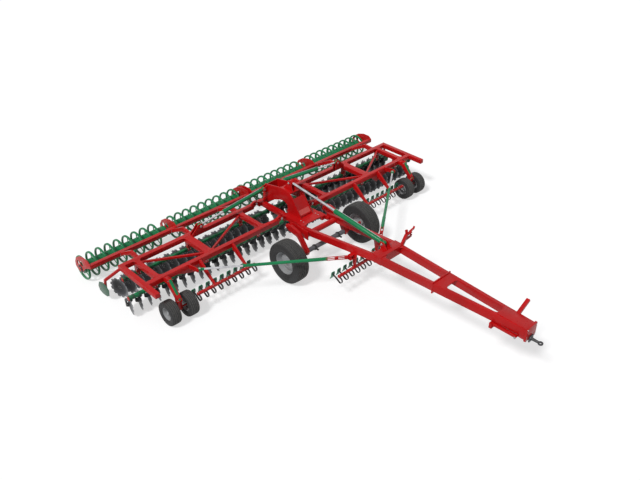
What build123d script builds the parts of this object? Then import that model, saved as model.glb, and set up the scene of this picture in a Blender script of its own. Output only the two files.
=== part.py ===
from build123d import *
import math
import os

os.makedirs("parts", exist_ok=True)

# Millimetres. Z is up, the ground is Z = 0, the drawbar points to -Y.
# X = 0 is the middle of the machine, +X is its left side seen from the rear.

# Wing trusses
BEAM = 120
BEAM_Z = 930
REAR_BEAM_Y = 709
FRONT_BEAM_Y = -316
WING_INNER_X = 640
WING_OUTER_X = 4720
INNER_CROSS_X = 1144
MID_CROSS_X = 2809
OUTER_CROSS_X = 4286
END_CROSS_X = 4660
MID_CROSS_WIDTH = 200
BRACE = 50
FOLD_AXIS_X = 550
FOLD_AXIS_Z = 1000
PIN_RADIUS = 25
PLATE = 20

# Disc rows
DISC_RADIUS = 280
DISC_DEPTH = 45
DISC_HOLLOW = 38
DISC_BACK_RADIUS = 60
DISC_SIDES = 10
DISC_PITCH = 250
DISC_LIFT = 5
FRONT_COUNT = 20
REAR_COUNT = 19
FRONT_FIRST_X = 125
REAR_FIRST_X = 250
FRONT_DISC_Y = 130
REAR_DISC_Y = 860
FRONT_YAW = 197
REAR_YAW = -17
HUB_LENGTH = 45
HUB_RADIUS = 45
TOOL_BAR = 80
TOOL_BAR_Z = 620
TOOL_BAR_INNER_X = 60
FRONT_BAR_PAST = 290
DISC_BAR_AHEAD = 200
ARM_WIDTH = 34
HANGER = 14

# Spring paddle boards
BOARD_BAR = 60
BOARD_Y = -930
BOARD_Z = 520
BOARD_INNER_X = 1950
BOARD_LENGTH = 1750
BOARD_SPRINGS = 9
SPRING_WIDTH = 45
SPRING_THICKNESS = 10
SPRING_RADIUS = 75
PADDLE_WIDTH = 130
PADDLE_HEIGHT = 210
PADDLE_THICKNESS = 8
PADDLE_BACK = 210
PADDLE_RISE = 20
PADDLE_SLANT = 50
SPRING_FOOT_DROP = 75
MID_BOARD_Y = -2860
MID_BOARD_Z = 640
MID_BOARD_HALF = 960
MID_BOARD_SPRINGS = 10

# Ring rollers
RING_RADIUS = 333
RING_PITCH = 262.5
RING_COUNT = 9
RING_WIDTH = 54
RING_WALL = 48
INNER_RING_GAP = 112
OUTER_RING_GAP = 52
DRUM_RADIUS = 150
DRUM_GAP = 30
RING_SIDES = 16
SPOKE_WIDTH = 40
SPOKE_THICKNESS = 10
SECTION = 2520
ROLLER_Y = 2164
SHAFT_RADIUS = 50
JOURNAL_RADIUS = 30
JOURNAL_CLEARANCE = 0.05
ROLLER_BEAM = 100
ROLLER_BEAM_Y = 1620
ROLLER_BEAM_Z = 660
BEARING_PLATE = 16
BEARING_CAP = 32
BEARING_CAP_RADIUS = 65
ARM_HOLE_RADIUS = 75
ROLLER_INNER_X = 60
LINK_WIDTH = 70

# Side deflectors
DEFLECTOR_X = 5044
DEFLECTOR_THICKNESS = 8
DEFLECTOR_ARM_X = 5015
DEFLECTOR_ELBOW_Y = 960
DEFLECTOR_ELBOW_Z = 600
DEFLECTOR_FOOT_Y = 1010
DEFLECTOR_FOOT_Z = 330
DEFLECTOR_ARM = 60
DEFLECTOR_LEG = 50

# Gauge wheels
GAUGE_RADIUS = 310
GAUGE_WIDTH = 260
GAUGE_SPREAD = 500
GAUGE_BOARD_GAP = 80
GAUGE_X = BOARD_INNER_X + BOARD_LENGTH + GAUGE_BOARD_GAP + (GAUGE_SPREAD + GAUGE_WIDTH) / 2
GAUGE_Y = -815
GAUGE_SEAT = 155
GAUGE_STUB = 22

# Transport wheels
TYRE_SIDES = 28
RIM_HUB_LENGTH = 120
WHEEL_RADIUS = 560
WHEEL_WIDTH = 400
WHEEL_X = 1300
WHEEL_Y = -1470
RIM_RADIUS = 300
HUB_CAP_RADIUS = 95
RIM_DISH = 40
AXLE_TUBE_RADIUS = 55
AXLE_ARM_WIDTH = 80
STUB_RADIUS = 40
PIVOT_Y = -800
PIVOT_Z = 1010

# Centre frame and tower
TILT_AXIS_Y = -1130
TILT_AXIS_Z = 930
CENTRE_RAIL_X = 330
EYE_Y = -150
EYE_Z = 1770
TOWER_HALF = 200
TOWER_FOOT_Y = -700
TOWER_FOOT_Z = 1010
TOWER_TOP_Y = -420
TOWER_TOP_Z = 1440
TOWER_DECK_Z = 1550
TOWER_REAR_Y = 630
FOLD_LUG_X = 320
FOLD_LUG_Z = 1390
FOLD_CYLINDER_Y = 600
FOLD_PIN_X = 2450
FOLD_PIN_Z = 1180

# Drawbar
RAIL_WIDTH = 90
RAIL_DEPTH = 200
NOSE_Y = -7420
NOSE_LENGTH = 700
NOSE_PLATE_HALF = 185
NOSE_PLATE = 50
HITCH_Y = -7690
HITCH_Z = 1030
HITCH_BORE_RADIUS = 26
EYE_OUTER = 58
EYE_HEIGHT = 46
SHANK_RADIUS = 30
COLLAR = 140
CROSS_TUBE_Y = -1340
CROSS_TUBE_Z = 950
CROSS_TUBE_RADIUS = 75
CROSS_TUBE_HALF = 600
PIVOT_PLATE_X = 590
KNUCKLE_PLATE_X = 430
KNUCKLE_PLATE = 24
BOARD_DROP_X = 400
BOARD_DROP_PLATE = 30
STATION_HALF = 130
FLANGE_Y = -5125
FLANGE_HALF = 320
FLANGE_PLATE = 30
SHELF_LENGTH = 290
SHELF_HALF = 240
CLEVIS_X = 75
REST_X = 600
REST_TOP_Z = 1500
NOSE_REST_Y = -7000

RAIL_REAR_X = 475
RAIL_MIDDLE_X = 360
RAIL_FRONT_X = 130
STATION_Y = -3550
STATION_Z = 1220
TILT_PIN = 35
PIVOT_RADIUS = 35
AXLE_ARM_X = 700
NOSE_HALF = 165
STAND_X = -225
STAND_Y = -7250
STAND_Z = 1075
STAND_LENGTH = 620
STAND_LEG = 60
STAND_PIN_RADIUS = 20

# Cylinders and drag struts
TILT_BARREL = 1640
TILT_BARREL_RADIUS = 65
TILT_ROD_RADIUS = 32
TILT_EYE_WIDTH = 90
TILT_OVERLAP = 60
FOLD_BARREL = 1370
FOLD_BARREL_RADIUS = 50
FOLD_ROD_RADIUS = 25
FOLD_EYE_WIDTH = 56
ROD_OVERLAP = 300
EYE_GAP = 6
TILT_CLEVIS_Y = -3410
TILT_CLEVIS_Z = 1430
STRUT_IN_X = 470
STRUT_IN_Y = -2840
STRUT_Z = 1000
KNUCKLE_PIN = 22
STRUT_TUBE = 2580
STRUT_RADIUS = 40
STRUT_ROD_RADIUS = 25
STRUT_ROD_GAP = 1
STRUT_OUT_X = 3430
STRUT_OUT_Y = -720
ROD_CLEARANCE = 0.5
STRUT_EYE_RADIUS = PIN_RADIUS + 24

# The saved pieces are moved so that the origin is under the middle of the whole
ORIGIN_Y = (HITCH_Y - EYE_OUTER + ROLLER_Y + RING_RADIUS) / 2


def save(name, shape):
    """Write one named piece."""
    export_step(Pos(0, -ORIGIN_Y, 0) * shape, os.path.join("parts", name + ".step"))


def joined(shapes):
    """One shape of all that are given."""
    whole = shapes[0]
    for shape in shapes[1:]:
        whole = whole + shape
    return whole


def block(x0, x1, y0, y1, z0, z1):
    """A box between two corners."""
    middle = ((x0 + x1) / 2, (y0 + y1) / 2, (z0 + z1) / 2)
    return Pos(*middle) * Box(abs(x1 - x0), abs(y1 - y0), abs(z1 - z0))


def along(start, end, across=(0, 0, 1)):
    """A plane at a start point that looks to an end point."""
    direction = Vector(*end) - Vector(*start)
    side = direction.cross(Vector(*across))
    return Plane(origin=start, x_dir=side, z_dir=direction)


def distance(start, end):
    return (Vector(*end) - Vector(*start)).length


def beam(start, end, width, depth):
    """A straight bar, its depth standing upright."""
    profile = along(start, end) * Rectangle(width, depth)
    return extrude(profile, distance(start, end))


def rod(start, end, radius):
    """A round bar between two points."""
    across = (0, 0, 1)
    if abs(start[0] - end[0]) < 1 and abs(start[1] - end[1]) < 1:
        across = (1, 0, 0)
    profile = along(start, end, across) * Circle(radius)
    return extrude(profile, distance(start, end))


def side_plate(points, x, thickness, holes=()):
    """A plate with a drawn Y-Z outline, centred on x."""
    outline = make_face(Polyline(*points, close=True))
    plate = extrude(outline, thickness, dir=(0, 0, 1))
    for y, z, radius in holes:
        plate = plate - Pos(y, z, thickness / 2) * Cylinder(radius, thickness * 3)
    flat = Plane(origin=(x - thickness / 2, 0, 0), x_dir=(0, 1, 0), z_dir=(1, 0, 0))
    return flat * plate


def cross_plate(points, y, thickness, holes=()):
    """A plate with a drawn X-Z outline, centred on y."""
    outline = make_face(Polyline(*points, close=True))
    plate = extrude(outline, thickness, dir=(0, 0, 1))
    for x, z, radius in holes:
        plate = plate - Pos(x, z, thickness / 2) * Cylinder(radius, thickness * 3)
    flat = Plane(origin=(0, y + thickness / 2, 0), x_dir=(1, 0, 0), z_dir=(0, -1, 0))
    return flat * plate


def flat_plate(points, z, thickness, holes=()):
    """A plate with a drawn X-Y outline, its underside at z."""
    outline = make_face(Polyline(*points, close=True))
    plate = extrude(outline, thickness, dir=(0, 0, 1))
    for x, y, radius in holes:
        plate = plate - Pos(x, y, thickness / 2) * Cylinder(radius, thickness * 3)
    return Pos(0, 0, z) * plate


def both_sides(name, shape):
    """Write a left piece and its mirror image on the right."""
    save(name + "_left", shape)
    save(name + "_right", mirror(shape, about=Plane.YZ))


def turned(profile, sides):
    """A many-sided solid about the X axis from a closed loop of (offset, radius) pairs."""
    step = 2 * math.pi / sides
    rings = []
    for offset, radius in profile:
        corners = []
        for i in range(sides):
            corners.append(Vector(offset, radius * math.cos(i * step), radius * math.sin(i * step)))
        rings.append(corners)
    faces = []
    for k, ring in enumerate(rings):
        after = rings[(k + 1) % len(rings)]
        for i in range(sides):
            j = (i + 1) % sides
            faces.append(Face(Wire.make_polygon([ring[i], ring[j], after[j], after[i]], close=True)))
    return Solid(Shell(faces))


def tyre_solid(x, y, z, radius, width, seat):
    """A tyre with round shoulders on a many-sided seat."""
    half_width = width / 2
    shoulder = radius * 0.09
    bead = half_width * 0.78
    section = [
        (-bead, seat),
        (-half_width, (seat + radius) / 2),
        (-half_width * 0.9, radius - shoulder),
        (-half_width * 0.66, radius),
        (half_width * 0.66, radius),
        (half_width * 0.9, radius - shoulder),
        (half_width, (seat + radius) / 2),
        (bead, seat),
    ]
    return Pos(x, y, z) * turned(section, TYRE_SIDES)


def rim_solid(x, y, z, seat, width, hub_radius, bore, dish_x):
    """A rim band with a centre disc and a bored hub."""
    bead = width / 2 * 0.78
    lip = seat - 16
    web = 8
    section = [
        (-bead, seat),
        (bead, seat),
        (bead, lip),
        (dish_x + web, lip),
        (dish_x + web, hub_radius),
        (dish_x + RIM_HUB_LENGTH / 2, hub_radius),
        (dish_x + RIM_HUB_LENGTH / 2, bore + 4),
        (dish_x - RIM_HUB_LENGTH / 2, bore + 4),
        (dish_x - RIM_HUB_LENGTH / 2, hub_radius),
        (dish_x - web, hub_radius),
        (dish_x - web, lip),
        (-bead, lip),
    ]
    sleeve = Cylinder(bore + 8, RIM_HUB_LENGTH) - Cylinder(bore, RIM_HUB_LENGTH)
    sleeve = Rot(0, 90, 0) * Pos(0, 0, dish_x) * sleeve
    return Pos(x, y, z) * (turned(section, TYRE_SIDES) + sleeve)


# Discs and their arms

def dish(yaw):
    """One hollow disc, its hollow towards +X before the turn."""
    step = 2 * math.pi / DISC_SIDES
    rim = []
    back = []
    for i in range(DISC_SIDES):
        across = math.cos(i * step)
        up = math.sin(i * step)
        rim.append(Vector(0, DISC_RADIUS * across, DISC_RADIUS * up))
        back.append(Vector(-DISC_DEPTH, DISC_BACK_RADIUS * across, DISC_BACK_RADIUS * up))
    bottom = Vector(-DISC_HOLLOW, 0, 0)
    faces = [Face(Wire.make_polygon(back, close=True))]
    for i in range(DISC_SIDES):
        j = (i + 1) % DISC_SIDES
        faces.append(Face(Wire.make_polygon([rim[i], rim[j], bottom], close=True)))
        faces.append(Face(Wire.make_polygon([rim[j], rim[i], back[i], back[j]], close=True)))
    return Rot(0, 0, yaw) * Solid(Shell(faces))


def disc_row(first_x, count, y, yaw):
    """All discs of one row as separate solids."""
    one = dish(yaw)
    z = DISC_RADIUS + DISC_LIFT
    return [Pos(first_x + i * DISC_PITCH, y, z) * one for i in range(count)]


def arm_row(first_x, count, y, yaw):
    """Curved arms from a tool bar to the backs of its discs."""
    turn = math.radians(yaw)
    near = DISC_DEPTH
    far = DISC_DEPTH + HUB_LENGTH
    z = DISC_RADIUS + DISC_LIFT
    bar_y = y - DISC_BAR_AHEAD
    low = TOOL_BAR_Z - TOOL_BAR / 2
    hub_y = y - far * math.sin(turn)
    outline = [
        (bar_y - 60, low),
        (bar_y + 60, low),
        (bar_y + 70, low - 60),
        (hub_y + 60, z + 120),
        (hub_y + 42, z - 45),
        (hub_y - 42, z - 45),
        (hub_y - 40, z + 70),
        (bar_y - 60, low - 90),
    ]
    one = side_plate(outline, -far * math.cos(turn), ARM_WIDTH)
    start = Plane(
        origin=(-near * math.cos(turn), y - near * math.sin(turn), z),
        z_dir=(-math.cos(turn), -math.sin(turn), 0),
    )
    one = one + extrude(start * RegularPolygon(HUB_RADIUS, 6), HUB_LENGTH)
    return [Pos(first_x + i * DISC_PITCH, 0, 0) * one for i in range(count)]


front_discs = disc_row(FRONT_FIRST_X, FRONT_COUNT, FRONT_DISC_Y, FRONT_YAW)
rear_discs = disc_row(REAR_FIRST_X, REAR_COUNT, REAR_DISC_Y, REAR_YAW)
both_sides("discs", Compound(front_discs + rear_discs))
front_arms = arm_row(FRONT_FIRST_X, FRONT_COUNT, FRONT_DISC_Y, FRONT_YAW)
rear_arms = arm_row(REAR_FIRST_X, REAR_COUNT, REAR_DISC_Y, REAR_YAW)
both_sides("disc_arms", Compound(front_arms + rear_arms))


# Tool bars

front_bar_y = FRONT_DISC_Y - DISC_BAR_AHEAD
rear_bar_y = REAR_DISC_Y - DISC_BAR_AHEAD
half_bar = TOOL_BAR / 2
tool_low = TOOL_BAR_Z - half_bar
tool_high = TOOL_BAR_Z + half_bar
bar_end = WING_OUTER_X + FRONT_BAR_PAST
front_bar = block(TOOL_BAR_INNER_X, bar_end, front_bar_y - half_bar, front_bar_y + half_bar,
                  tool_low, tool_high)
rear_bar = block(TOOL_BAR_INNER_X, WING_OUTER_X, rear_bar_y - half_bar, rear_bar_y + half_bar,
                 tool_low, tool_high)
both_sides("tool_bars", Compound([front_bar, rear_bar]))


# Wing trusses

half = BEAM / 2
beam_low = BEAM_Z - half
beam_high = BEAM_Z + half
pieces = [
    block(WING_INNER_X, WING_OUTER_X, REAR_BEAM_Y - half, REAR_BEAM_Y + half, beam_low, beam_high),
    block(WING_INNER_X, WING_OUTER_X, FRONT_BEAM_Y - half, FRONT_BEAM_Y + half, beam_low, beam_high),
]
for x, width in ((INNER_CROSS_X, BEAM), (MID_CROSS_X, MID_CROSS_WIDTH), (OUTER_CROSS_X, BEAM)):
    pieces.append(block(x - width / 2, x + width / 2, FRONT_BEAM_Y, REAR_BEAM_Y, beam_low, beam_high))
pieces.append(block(END_CROSS_X - half, WING_OUTER_X, -820, REAR_BEAM_Y, beam_low, beam_high))
for start, end in (
    ((INNER_CROSS_X, REAR_BEAM_Y - 90), (MID_CROSS_X, FRONT_BEAM_Y + 60)),
    ((OUTER_CROSS_X, REAR_BEAM_Y - 90), (MID_CROSS_X, FRONT_BEAM_Y + 90)),
):
    pieces.append(beam((*start, BEAM_Z), (*end, BEAM_Z), BRACE, BRACE))
web_start = MID_CROSS_X + MID_CROSS_WIDTH / 2
web = [(web_start, beam_low + 5), (OUTER_CROSS_X - 330, beam_low + 5), (web_start + 290, TOOL_BAR_Z)]
pieces.append(cross_plate(web, FRONT_BEAM_Y, PLATE))

# Hangers that carry the tool bars
for x in (INNER_CROSS_X, MID_CROSS_X, OUTER_CROSS_X):
    for bar_y in (front_bar_y, rear_bar_y):
        hanger = block(x - 50, x + 50, bar_y - half_bar - HANGER, bar_y + half_bar + HANGER,
                       tool_low + 6, beam_low + 10)
        opening = block(x - 60, x + 60, bar_y - half_bar, bar_y + half_bar, tool_low, tool_high)
        pieces.append(hanger - opening)

# Hinge eyes and the lugs of the cylinders
for y in (FRONT_BEAM_Y, REAR_BEAM_Y):
    eye = [
        (WING_INNER_X + 40, beam_low),
        (WING_INNER_X + 40, beam_high + 30),
        (FOLD_AXIS_X + 20, FOLD_AXIS_Z + 55),
        (FOLD_AXIS_X - 35, FOLD_AXIS_Z + 45),
        (FOLD_AXIS_X - 50, FOLD_AXIS_Z - 20),
        (FOLD_AXIS_X - 10, FOLD_AXIS_Z - 60),
        (WING_INNER_X, beam_low),
    ]
    pieces.append(cross_plate(eye, y, 60, [(FOLD_AXIS_X, FOLD_AXIS_Z, PIN_RADIUS + JOURNAL_CLEARANCE)]))
lug = [
    (FOLD_PIN_X - 90, beam_high - 30),
    (MID_CROSS_X - 95, beam_high - 30),
    (MID_CROSS_X - 95, beam_high + 40),
    (FOLD_PIN_X + 60, FOLD_PIN_Z + 55),
    (FOLD_PIN_X - 60, FOLD_PIN_Z + 55),
    (FOLD_PIN_X - 70, FOLD_PIN_Z - 40),
]
for offset in (-45, 45):
    pieces.append(cross_plate(lug, FOLD_CYLINDER_Y + offset, PLATE))
    head_y = FOLD_CYLINDER_Y + offset
    head_end = FOLD_CYLINDER_Y + offset * 1.6
    pieces.append(rod((FOLD_PIN_X, head_y, FOLD_PIN_Z), (FOLD_PIN_X, head_end, FOLD_PIN_Z), PIN_RADIUS))

# Cheek that the drag strut's eye is pinned to, on its outer side
cheek_x = STRUT_OUT_X + STRUT_EYE_RADIUS + EYE_GAP + PLATE / 2
pieces.append(side_plate([
    (FRONT_BEAM_Y - 20, beam_low),
    (FRONT_BEAM_Y - 20, beam_high),
    (STRUT_OUT_Y + 60, STRUT_Z + 60),
    (STRUT_OUT_Y - 30, STRUT_Z + 50),
    (STRUT_OUT_Y - 50, STRUT_Z),
    (STRUT_OUT_Y - 30, STRUT_Z - 50),
], cheek_x, PLATE))
pieces.append(rod((cheek_x, STRUT_OUT_Y, STRUT_Z), (cheek_x + 30, STRUT_OUT_Y, STRUT_Z), PIN_RADIUS))

# Arm of the side deflector
elbow = (DEFLECTOR_ARM_X, DEFLECTOR_ELBOW_Y, DEFLECTOR_ELBOW_Z)
leg_top = (DEFLECTOR_ARM_X, DEFLECTOR_ELBOW_Y, DEFLECTOR_ELBOW_Z + 20)
leg_foot = (DEFLECTOR_ARM_X, DEFLECTOR_FOOT_Y, DEFLECTOR_FOOT_Z)
pieces.append(beam((WING_OUTER_X - half, REAR_BEAM_Y, BEAM_Z - 10), elbow, DEFLECTOR_ARM, DEFLECTOR_ARM))
pieces.append(beam(leg_top, leg_foot, DEFLECTOR_LEG, DEFLECTOR_LEG))
both_sides("wing_frame", joined(pieces))


# Spring paddle boards

def board(name, first_x, last_x, count, y, z, drops):
    """A cross bar with its drop arms, leaf springs and paddles."""
    bar_half = BOARD_BAR / 2
    bar = block(first_x, last_x, y - bar_half, y + bar_half, z - bar_half, z + bar_half)
    springs = []
    paddles = []
    pitch = (last_x - first_x - SPRING_WIDTH - 20) / (count - 1)
    r = SPRING_RADIUS
    t = SPRING_THICKNESS
    under = z - bar_half
    front = y - bar_half - r
    low = under - r * 2.1
    back = y + PADDLE_BACK
    foot = z - SPRING_FOOT_DROP
    blade_back = back + PADDLE_THICKNESS
    blade_top = z + PADDLE_RISE
    blade_low = blade_top - PADDLE_HEIGHT
    leaf = [
        (y + bar_half, under),
        (front + r - 20, under),
        (front, under - r * 0.6),
        (front, under - r * 1.5),
        (front + r - 10, low),
        (y + bar_half, low + r * 0.4),
        (back, foot),
        (back, foot + t),
        (y + bar_half, low + r * 0.4 + t),
        (front + r - 6, low + t),
        (front + t, under - r * 1.5 + 3),
        (front + t, under - r * 0.6 - 3),
        (front + r - 16, under - t),
        (y + bar_half, under - t),
    ]
    blade = [
        (back, blade_top),
        (blade_back, blade_top),
        (blade_back, foot),
        (blade_back + PADDLE_SLANT, blade_low),
        (back + PADDLE_SLANT, blade_low),
        (back, foot - 5),
    ]
    for i in range(count):
        x = first_x + SPRING_WIDTH / 2 + 10 + i * pitch
        springs.append(side_plate(leaf, x, SPRING_WIDTH))
        paddles.append(side_plate(blade, x, PADDLE_WIDTH))
    return joined([bar] + drops), Compound(springs), Compound(paddles)


drops = []
for x in (BOARD_INNER_X + 230, STRUT_OUT_X - 250):
    drops.append(side_plate([
        (FRONT_BEAM_Y - half, beam_high - 10),
        (FRONT_BEAM_Y - half - 60, beam_high - 20),
        (BOARD_Y + 30, BOARD_Z + 60),
        (BOARD_Y - 20, BOARD_Z),
        (BOARD_Y + 20, BOARD_Z - 20),
        (BOARD_Y + 90, BOARD_Z + 20),
        (FRONT_BEAM_Y - half, beam_low - 60),
    ], x, 50))
bar, springs, paddles = board("board", BOARD_INNER_X, BOARD_INNER_X + BOARD_LENGTH, BOARD_SPRINGS,
                              BOARD_Y, BOARD_Z, drops)
both_sides("board_bar", bar)
both_sides("board_springs", springs)
both_sides("board_paddles", paddles)

bar, springs, paddles = board("mid_board", -MID_BOARD_HALF, MID_BOARD_HALF, MID_BOARD_SPRINGS,
                              MID_BOARD_Y, MID_BOARD_Z, [])
save("mid_board_bar", bar)
save("mid_board_springs", springs)
save("mid_board_paddles", paddles)


# Roller frames and ring rollers

pieces = []
bearing_xs = (ROLLER_INNER_X, SECTION, 2 * SECTION)
beam_half = ROLLER_BEAM / 2
half_plate = BEARING_PLATE / 2
roller_beam_low = ROLLER_BEAM_Z - beam_half
roller_beam_high = ROLLER_BEAM_Z + beam_half
pieces.append(block(bearing_xs[0] - half_plate, bearing_xs[2] + half_plate, ROLLER_BEAM_Y - beam_half,
                    ROLLER_BEAM_Y + beam_half, roller_beam_low, roller_beam_high))
link_start = REAR_BEAM_Y + half
link_bend = link_start + 300
link = [
    (link_start, beam_high),
    (link_bend, beam_high + 20),
    (ROLLER_BEAM_Y - 40, roller_beam_high - 5),
    (ROLLER_BEAM_Y - 40, roller_beam_low + 5),
    (link_bend, beam_low + 20),
    (link_start, beam_low),
]
for x in (INNER_CROSS_X, MID_CROSS_X - 150, OUTER_CROSS_X - 110):
    pieces.append(side_plate(link, x, LINK_WIDTH))

# Arched arms that reach over the rings to the bearings
arm = [
    (ROLLER_BEAM_Y - beam_half, roller_beam_low),
    (ROLLER_BEAM_Y - beam_half, roller_beam_high),
    (ROLLER_BEAM_Y + 60, roller_beam_high + 85),
    (ROLLER_Y - 250, RING_RADIUS + 460),
    (ROLLER_Y - 30, RING_RADIUS + 390),
    (ROLLER_Y + 150, RING_RADIUS + 265),
    (ROLLER_Y + 250, RING_RADIUS + 110),
    (ROLLER_Y + 260, RING_RADIUS - 20),
    (ROLLER_Y + 180, RING_RADIUS - 90),
    (ROLLER_Y - 60, RING_RADIUS - 80),
    (ROLLER_Y - 260, RING_RADIUS + 120),
    (ROLLER_BEAM_Y + 90, RING_RADIUS + 230),
]
holes = [
    (ROLLER_Y, RING_RADIUS, JOURNAL_RADIUS + JOURNAL_CLEARANCE),
    (ROLLER_Y - 95, RING_RADIUS + 195, ARM_HOLE_RADIUS),
    (ROLLER_Y + 75, RING_RADIUS + 150, ARM_HOLE_RADIUS * 0.8),
]
for x in bearing_xs:
    pieces.append(side_plate(arm, x, BEARING_PLATE, holes))

# Closed caps over the outermost bearings
for x, way_out in ((bearing_xs[0], -1), (bearing_xs[2], 1)):
    face = x + way_out * half_plate
    pieces.append(rod((face, ROLLER_Y, RING_RADIUS), (face + way_out * BEARING_CAP, ROLLER_Y, RING_RADIUS),
                      BEARING_CAP_RADIUS))
both_sides("roller_frame", joined(pieces))


def roller(first_x, last_x, first_ring, start_journal, end_journal):
    """A drum on a shaft, with thick rings on three spokes each."""
    z = RING_RADIUS
    drum_start = first_x + DRUM_GAP
    drum_end = last_x - DRUM_GAP
    shapes = [
        turned([(drum_start, DRUM_RADIUS), (drum_end, DRUM_RADIUS), (drum_end, SHAFT_RADIUS - 10),
                (drum_start, SHAFT_RADIUS - 10)], RING_SIDES),
        rod((first_x + 14, 0, 0), (last_x - 14, 0, 0), SHAFT_RADIUS),
        rod((first_x + start_journal, 0, 0), (first_x + 20, 0, 0), JOURNAL_RADIUS),
        rod((last_x - 20, 0, 0), (last_x - end_journal, 0, 0), JOURNAL_RADIUS),
    ]
    half_width = RING_WIDTH / 2
    inner = RING_RADIUS - RING_WALL
    wheel = turned([(-half_width, RING_RADIUS), (half_width, RING_RADIUS), (half_width, inner),
                    (-half_width, inner)], RING_SIDES)
    spoke_start = DRUM_RADIUS - 10
    spoke_length = inner + 10 - spoke_start
    for i in range(3):
        spoke = Pos(0, 0, spoke_start + spoke_length / 2) * Box(SPOKE_THICKNESS, SPOKE_WIDTH, spoke_length)
        wheel = wheel + Rot(120 * i, 0, 0) * spoke
    for i in range(RING_COUNT):
        shapes.append(Pos(first_ring + i * RING_PITCH, 0, 0) * wheel)
    return Pos(0, ROLLER_Y, z) * joined(shapes)


inner_start = bearing_xs[0] + half_plate
inner_stop = bearing_xs[1] - half_plate
outer_start = bearing_xs[1] + half_plate
outer_stop = bearing_xs[2] - half_plate
past_plate = -10
short_of_middle = -half_plate + 1
first_outer_ring = outer_stop - OUTER_RING_GAP - (RING_COUNT - 1) * RING_PITCH
both_sides("roller_inner", roller(inner_start, inner_stop, inner_start + INNER_RING_GAP, past_plate,
                                  short_of_middle))
both_sides("roller_outer", roller(outer_start, outer_stop, first_outer_ring, short_of_middle, past_plate))


# Side deflectors

y = DEFLECTOR_FOOT_Y
z = DEFLECTOR_FOOT_Z
plate = [
    (y - 210, z + 50),
    (y - 110, z + 150),
    (y + 50, z + 170),
    (y + 240, z + 90),
    (y + 320, z - 70),
    (y + 280, z - 180),
    (y + 140, z - 220),
    (y - 60, z - 200),
    (y - 180, z - 110),
]
both_sides("deflector_plate", side_plate(plate, DEFLECTOR_X, DEFLECTOR_THICKNESS))


# Gauge wheels

leg = side_plate([
    (FRONT_BEAM_Y - half, beam_high - 10),
    (FRONT_BEAM_Y - half - 180, beam_high - 10),
    (GAUGE_Y - 60, 640),
    (GAUGE_Y - 50, GAUGE_RADIUS - 45),
    (GAUGE_Y + 50, GAUGE_RADIUS - 45),
    (GAUGE_Y + 60, 600),
    (FRONT_BEAM_Y - half - 120, beam_low),
    (FRONT_BEAM_Y - half, beam_low),
], GAUGE_X, 110)
reach = GAUGE_SPREAD / 2 + RIM_HUB_LENGTH / 2
axle = rod((GAUGE_X - reach, GAUGE_Y, GAUGE_RADIUS), (GAUGE_X + reach, GAUGE_Y, GAUGE_RADIUS), GAUGE_STUB)
both_sides("gauge_arm", leg + axle)
tyres = []
rims = []
for x in (GAUGE_X - GAUGE_SPREAD / 2, GAUGE_X + GAUGE_SPREAD / 2):
    tyres.append(tyre_solid(x, GAUGE_Y, GAUGE_RADIUS, GAUGE_RADIUS, GAUGE_WIDTH, GAUGE_SEAT))
    rims.append(rim_solid(x, GAUGE_Y, GAUGE_RADIUS, GAUGE_SEAT, GAUGE_WIDTH, 50,
                          GAUGE_STUB + JOURNAL_CLEARANCE, 0))
both_sides("gauge_tyres", Compound(tyres))
both_sides("gauge_rims", Compound(rims))


# Transport wheels and their lifting arms

tyre = tyre_solid(WHEEL_X, WHEEL_Y, WHEEL_RADIUS, WHEEL_RADIUS, WHEEL_WIDTH, RIM_RADIUS)
rim = rim_solid(WHEEL_X, WHEEL_Y, WHEEL_RADIUS, RIM_RADIUS, WHEEL_WIDTH, HUB_CAP_RADIUS,
                STUB_RADIUS + JOURNAL_CLEARANCE, RIM_DISH)
both_sides("transport_tyre", tyre)
both_sides("transport_rim", rim)
arm_outline = [
    (PIVOT_Y + 70, PIVOT_Z - 40),
    (PIVOT_Y + 50, PIVOT_Z + 60),
    (PIVOT_Y - 120, PIVOT_Z + 85),
    (PIVOT_Y - 430, PIVOT_Z),
    (WHEEL_Y + 70, WHEEL_RADIUS + 243),
    (WHEEL_Y - 90, WHEEL_RADIUS + 20),
    (WHEEL_Y - 60, WHEEL_RADIUS - 80),
    (WHEEL_Y + 60, WHEEL_RADIUS - 80),
    (WHEEL_Y + 190, WHEEL_RADIUS + 163),
    (PIVOT_Y - 350, PIVOT_Z - 140),
    (PIVOT_Y, PIVOT_Z - 75),
]
arms = []
for side in (-1, 1):
    plate = side_plate(arm_outline, side * AXLE_ARM_X, AXLE_ARM_WIDTH,
                       [(PIVOT_Y, PIVOT_Z, PIVOT_RADIUS + JOURNAL_CLEARANCE)])
    arms.append(plate)
stub_end = WHEEL_X + RIM_DISH + RIM_HUB_LENGTH / 2
tube_half = WHEEL_X - WHEEL_WIDTH / 2 + 50
arms.append(rod((-tube_half, WHEEL_Y, WHEEL_RADIUS), (tube_half, WHEEL_Y, WHEEL_RADIUS), AXLE_TUBE_RADIUS))
arms.append(rod((-stub_end, WHEEL_Y, WHEEL_RADIUS), (stub_end, WHEEL_Y, WHEEL_RADIUS), STUB_RADIUS))
save("axle_arms", joined(arms))


# Drawbar

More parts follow.
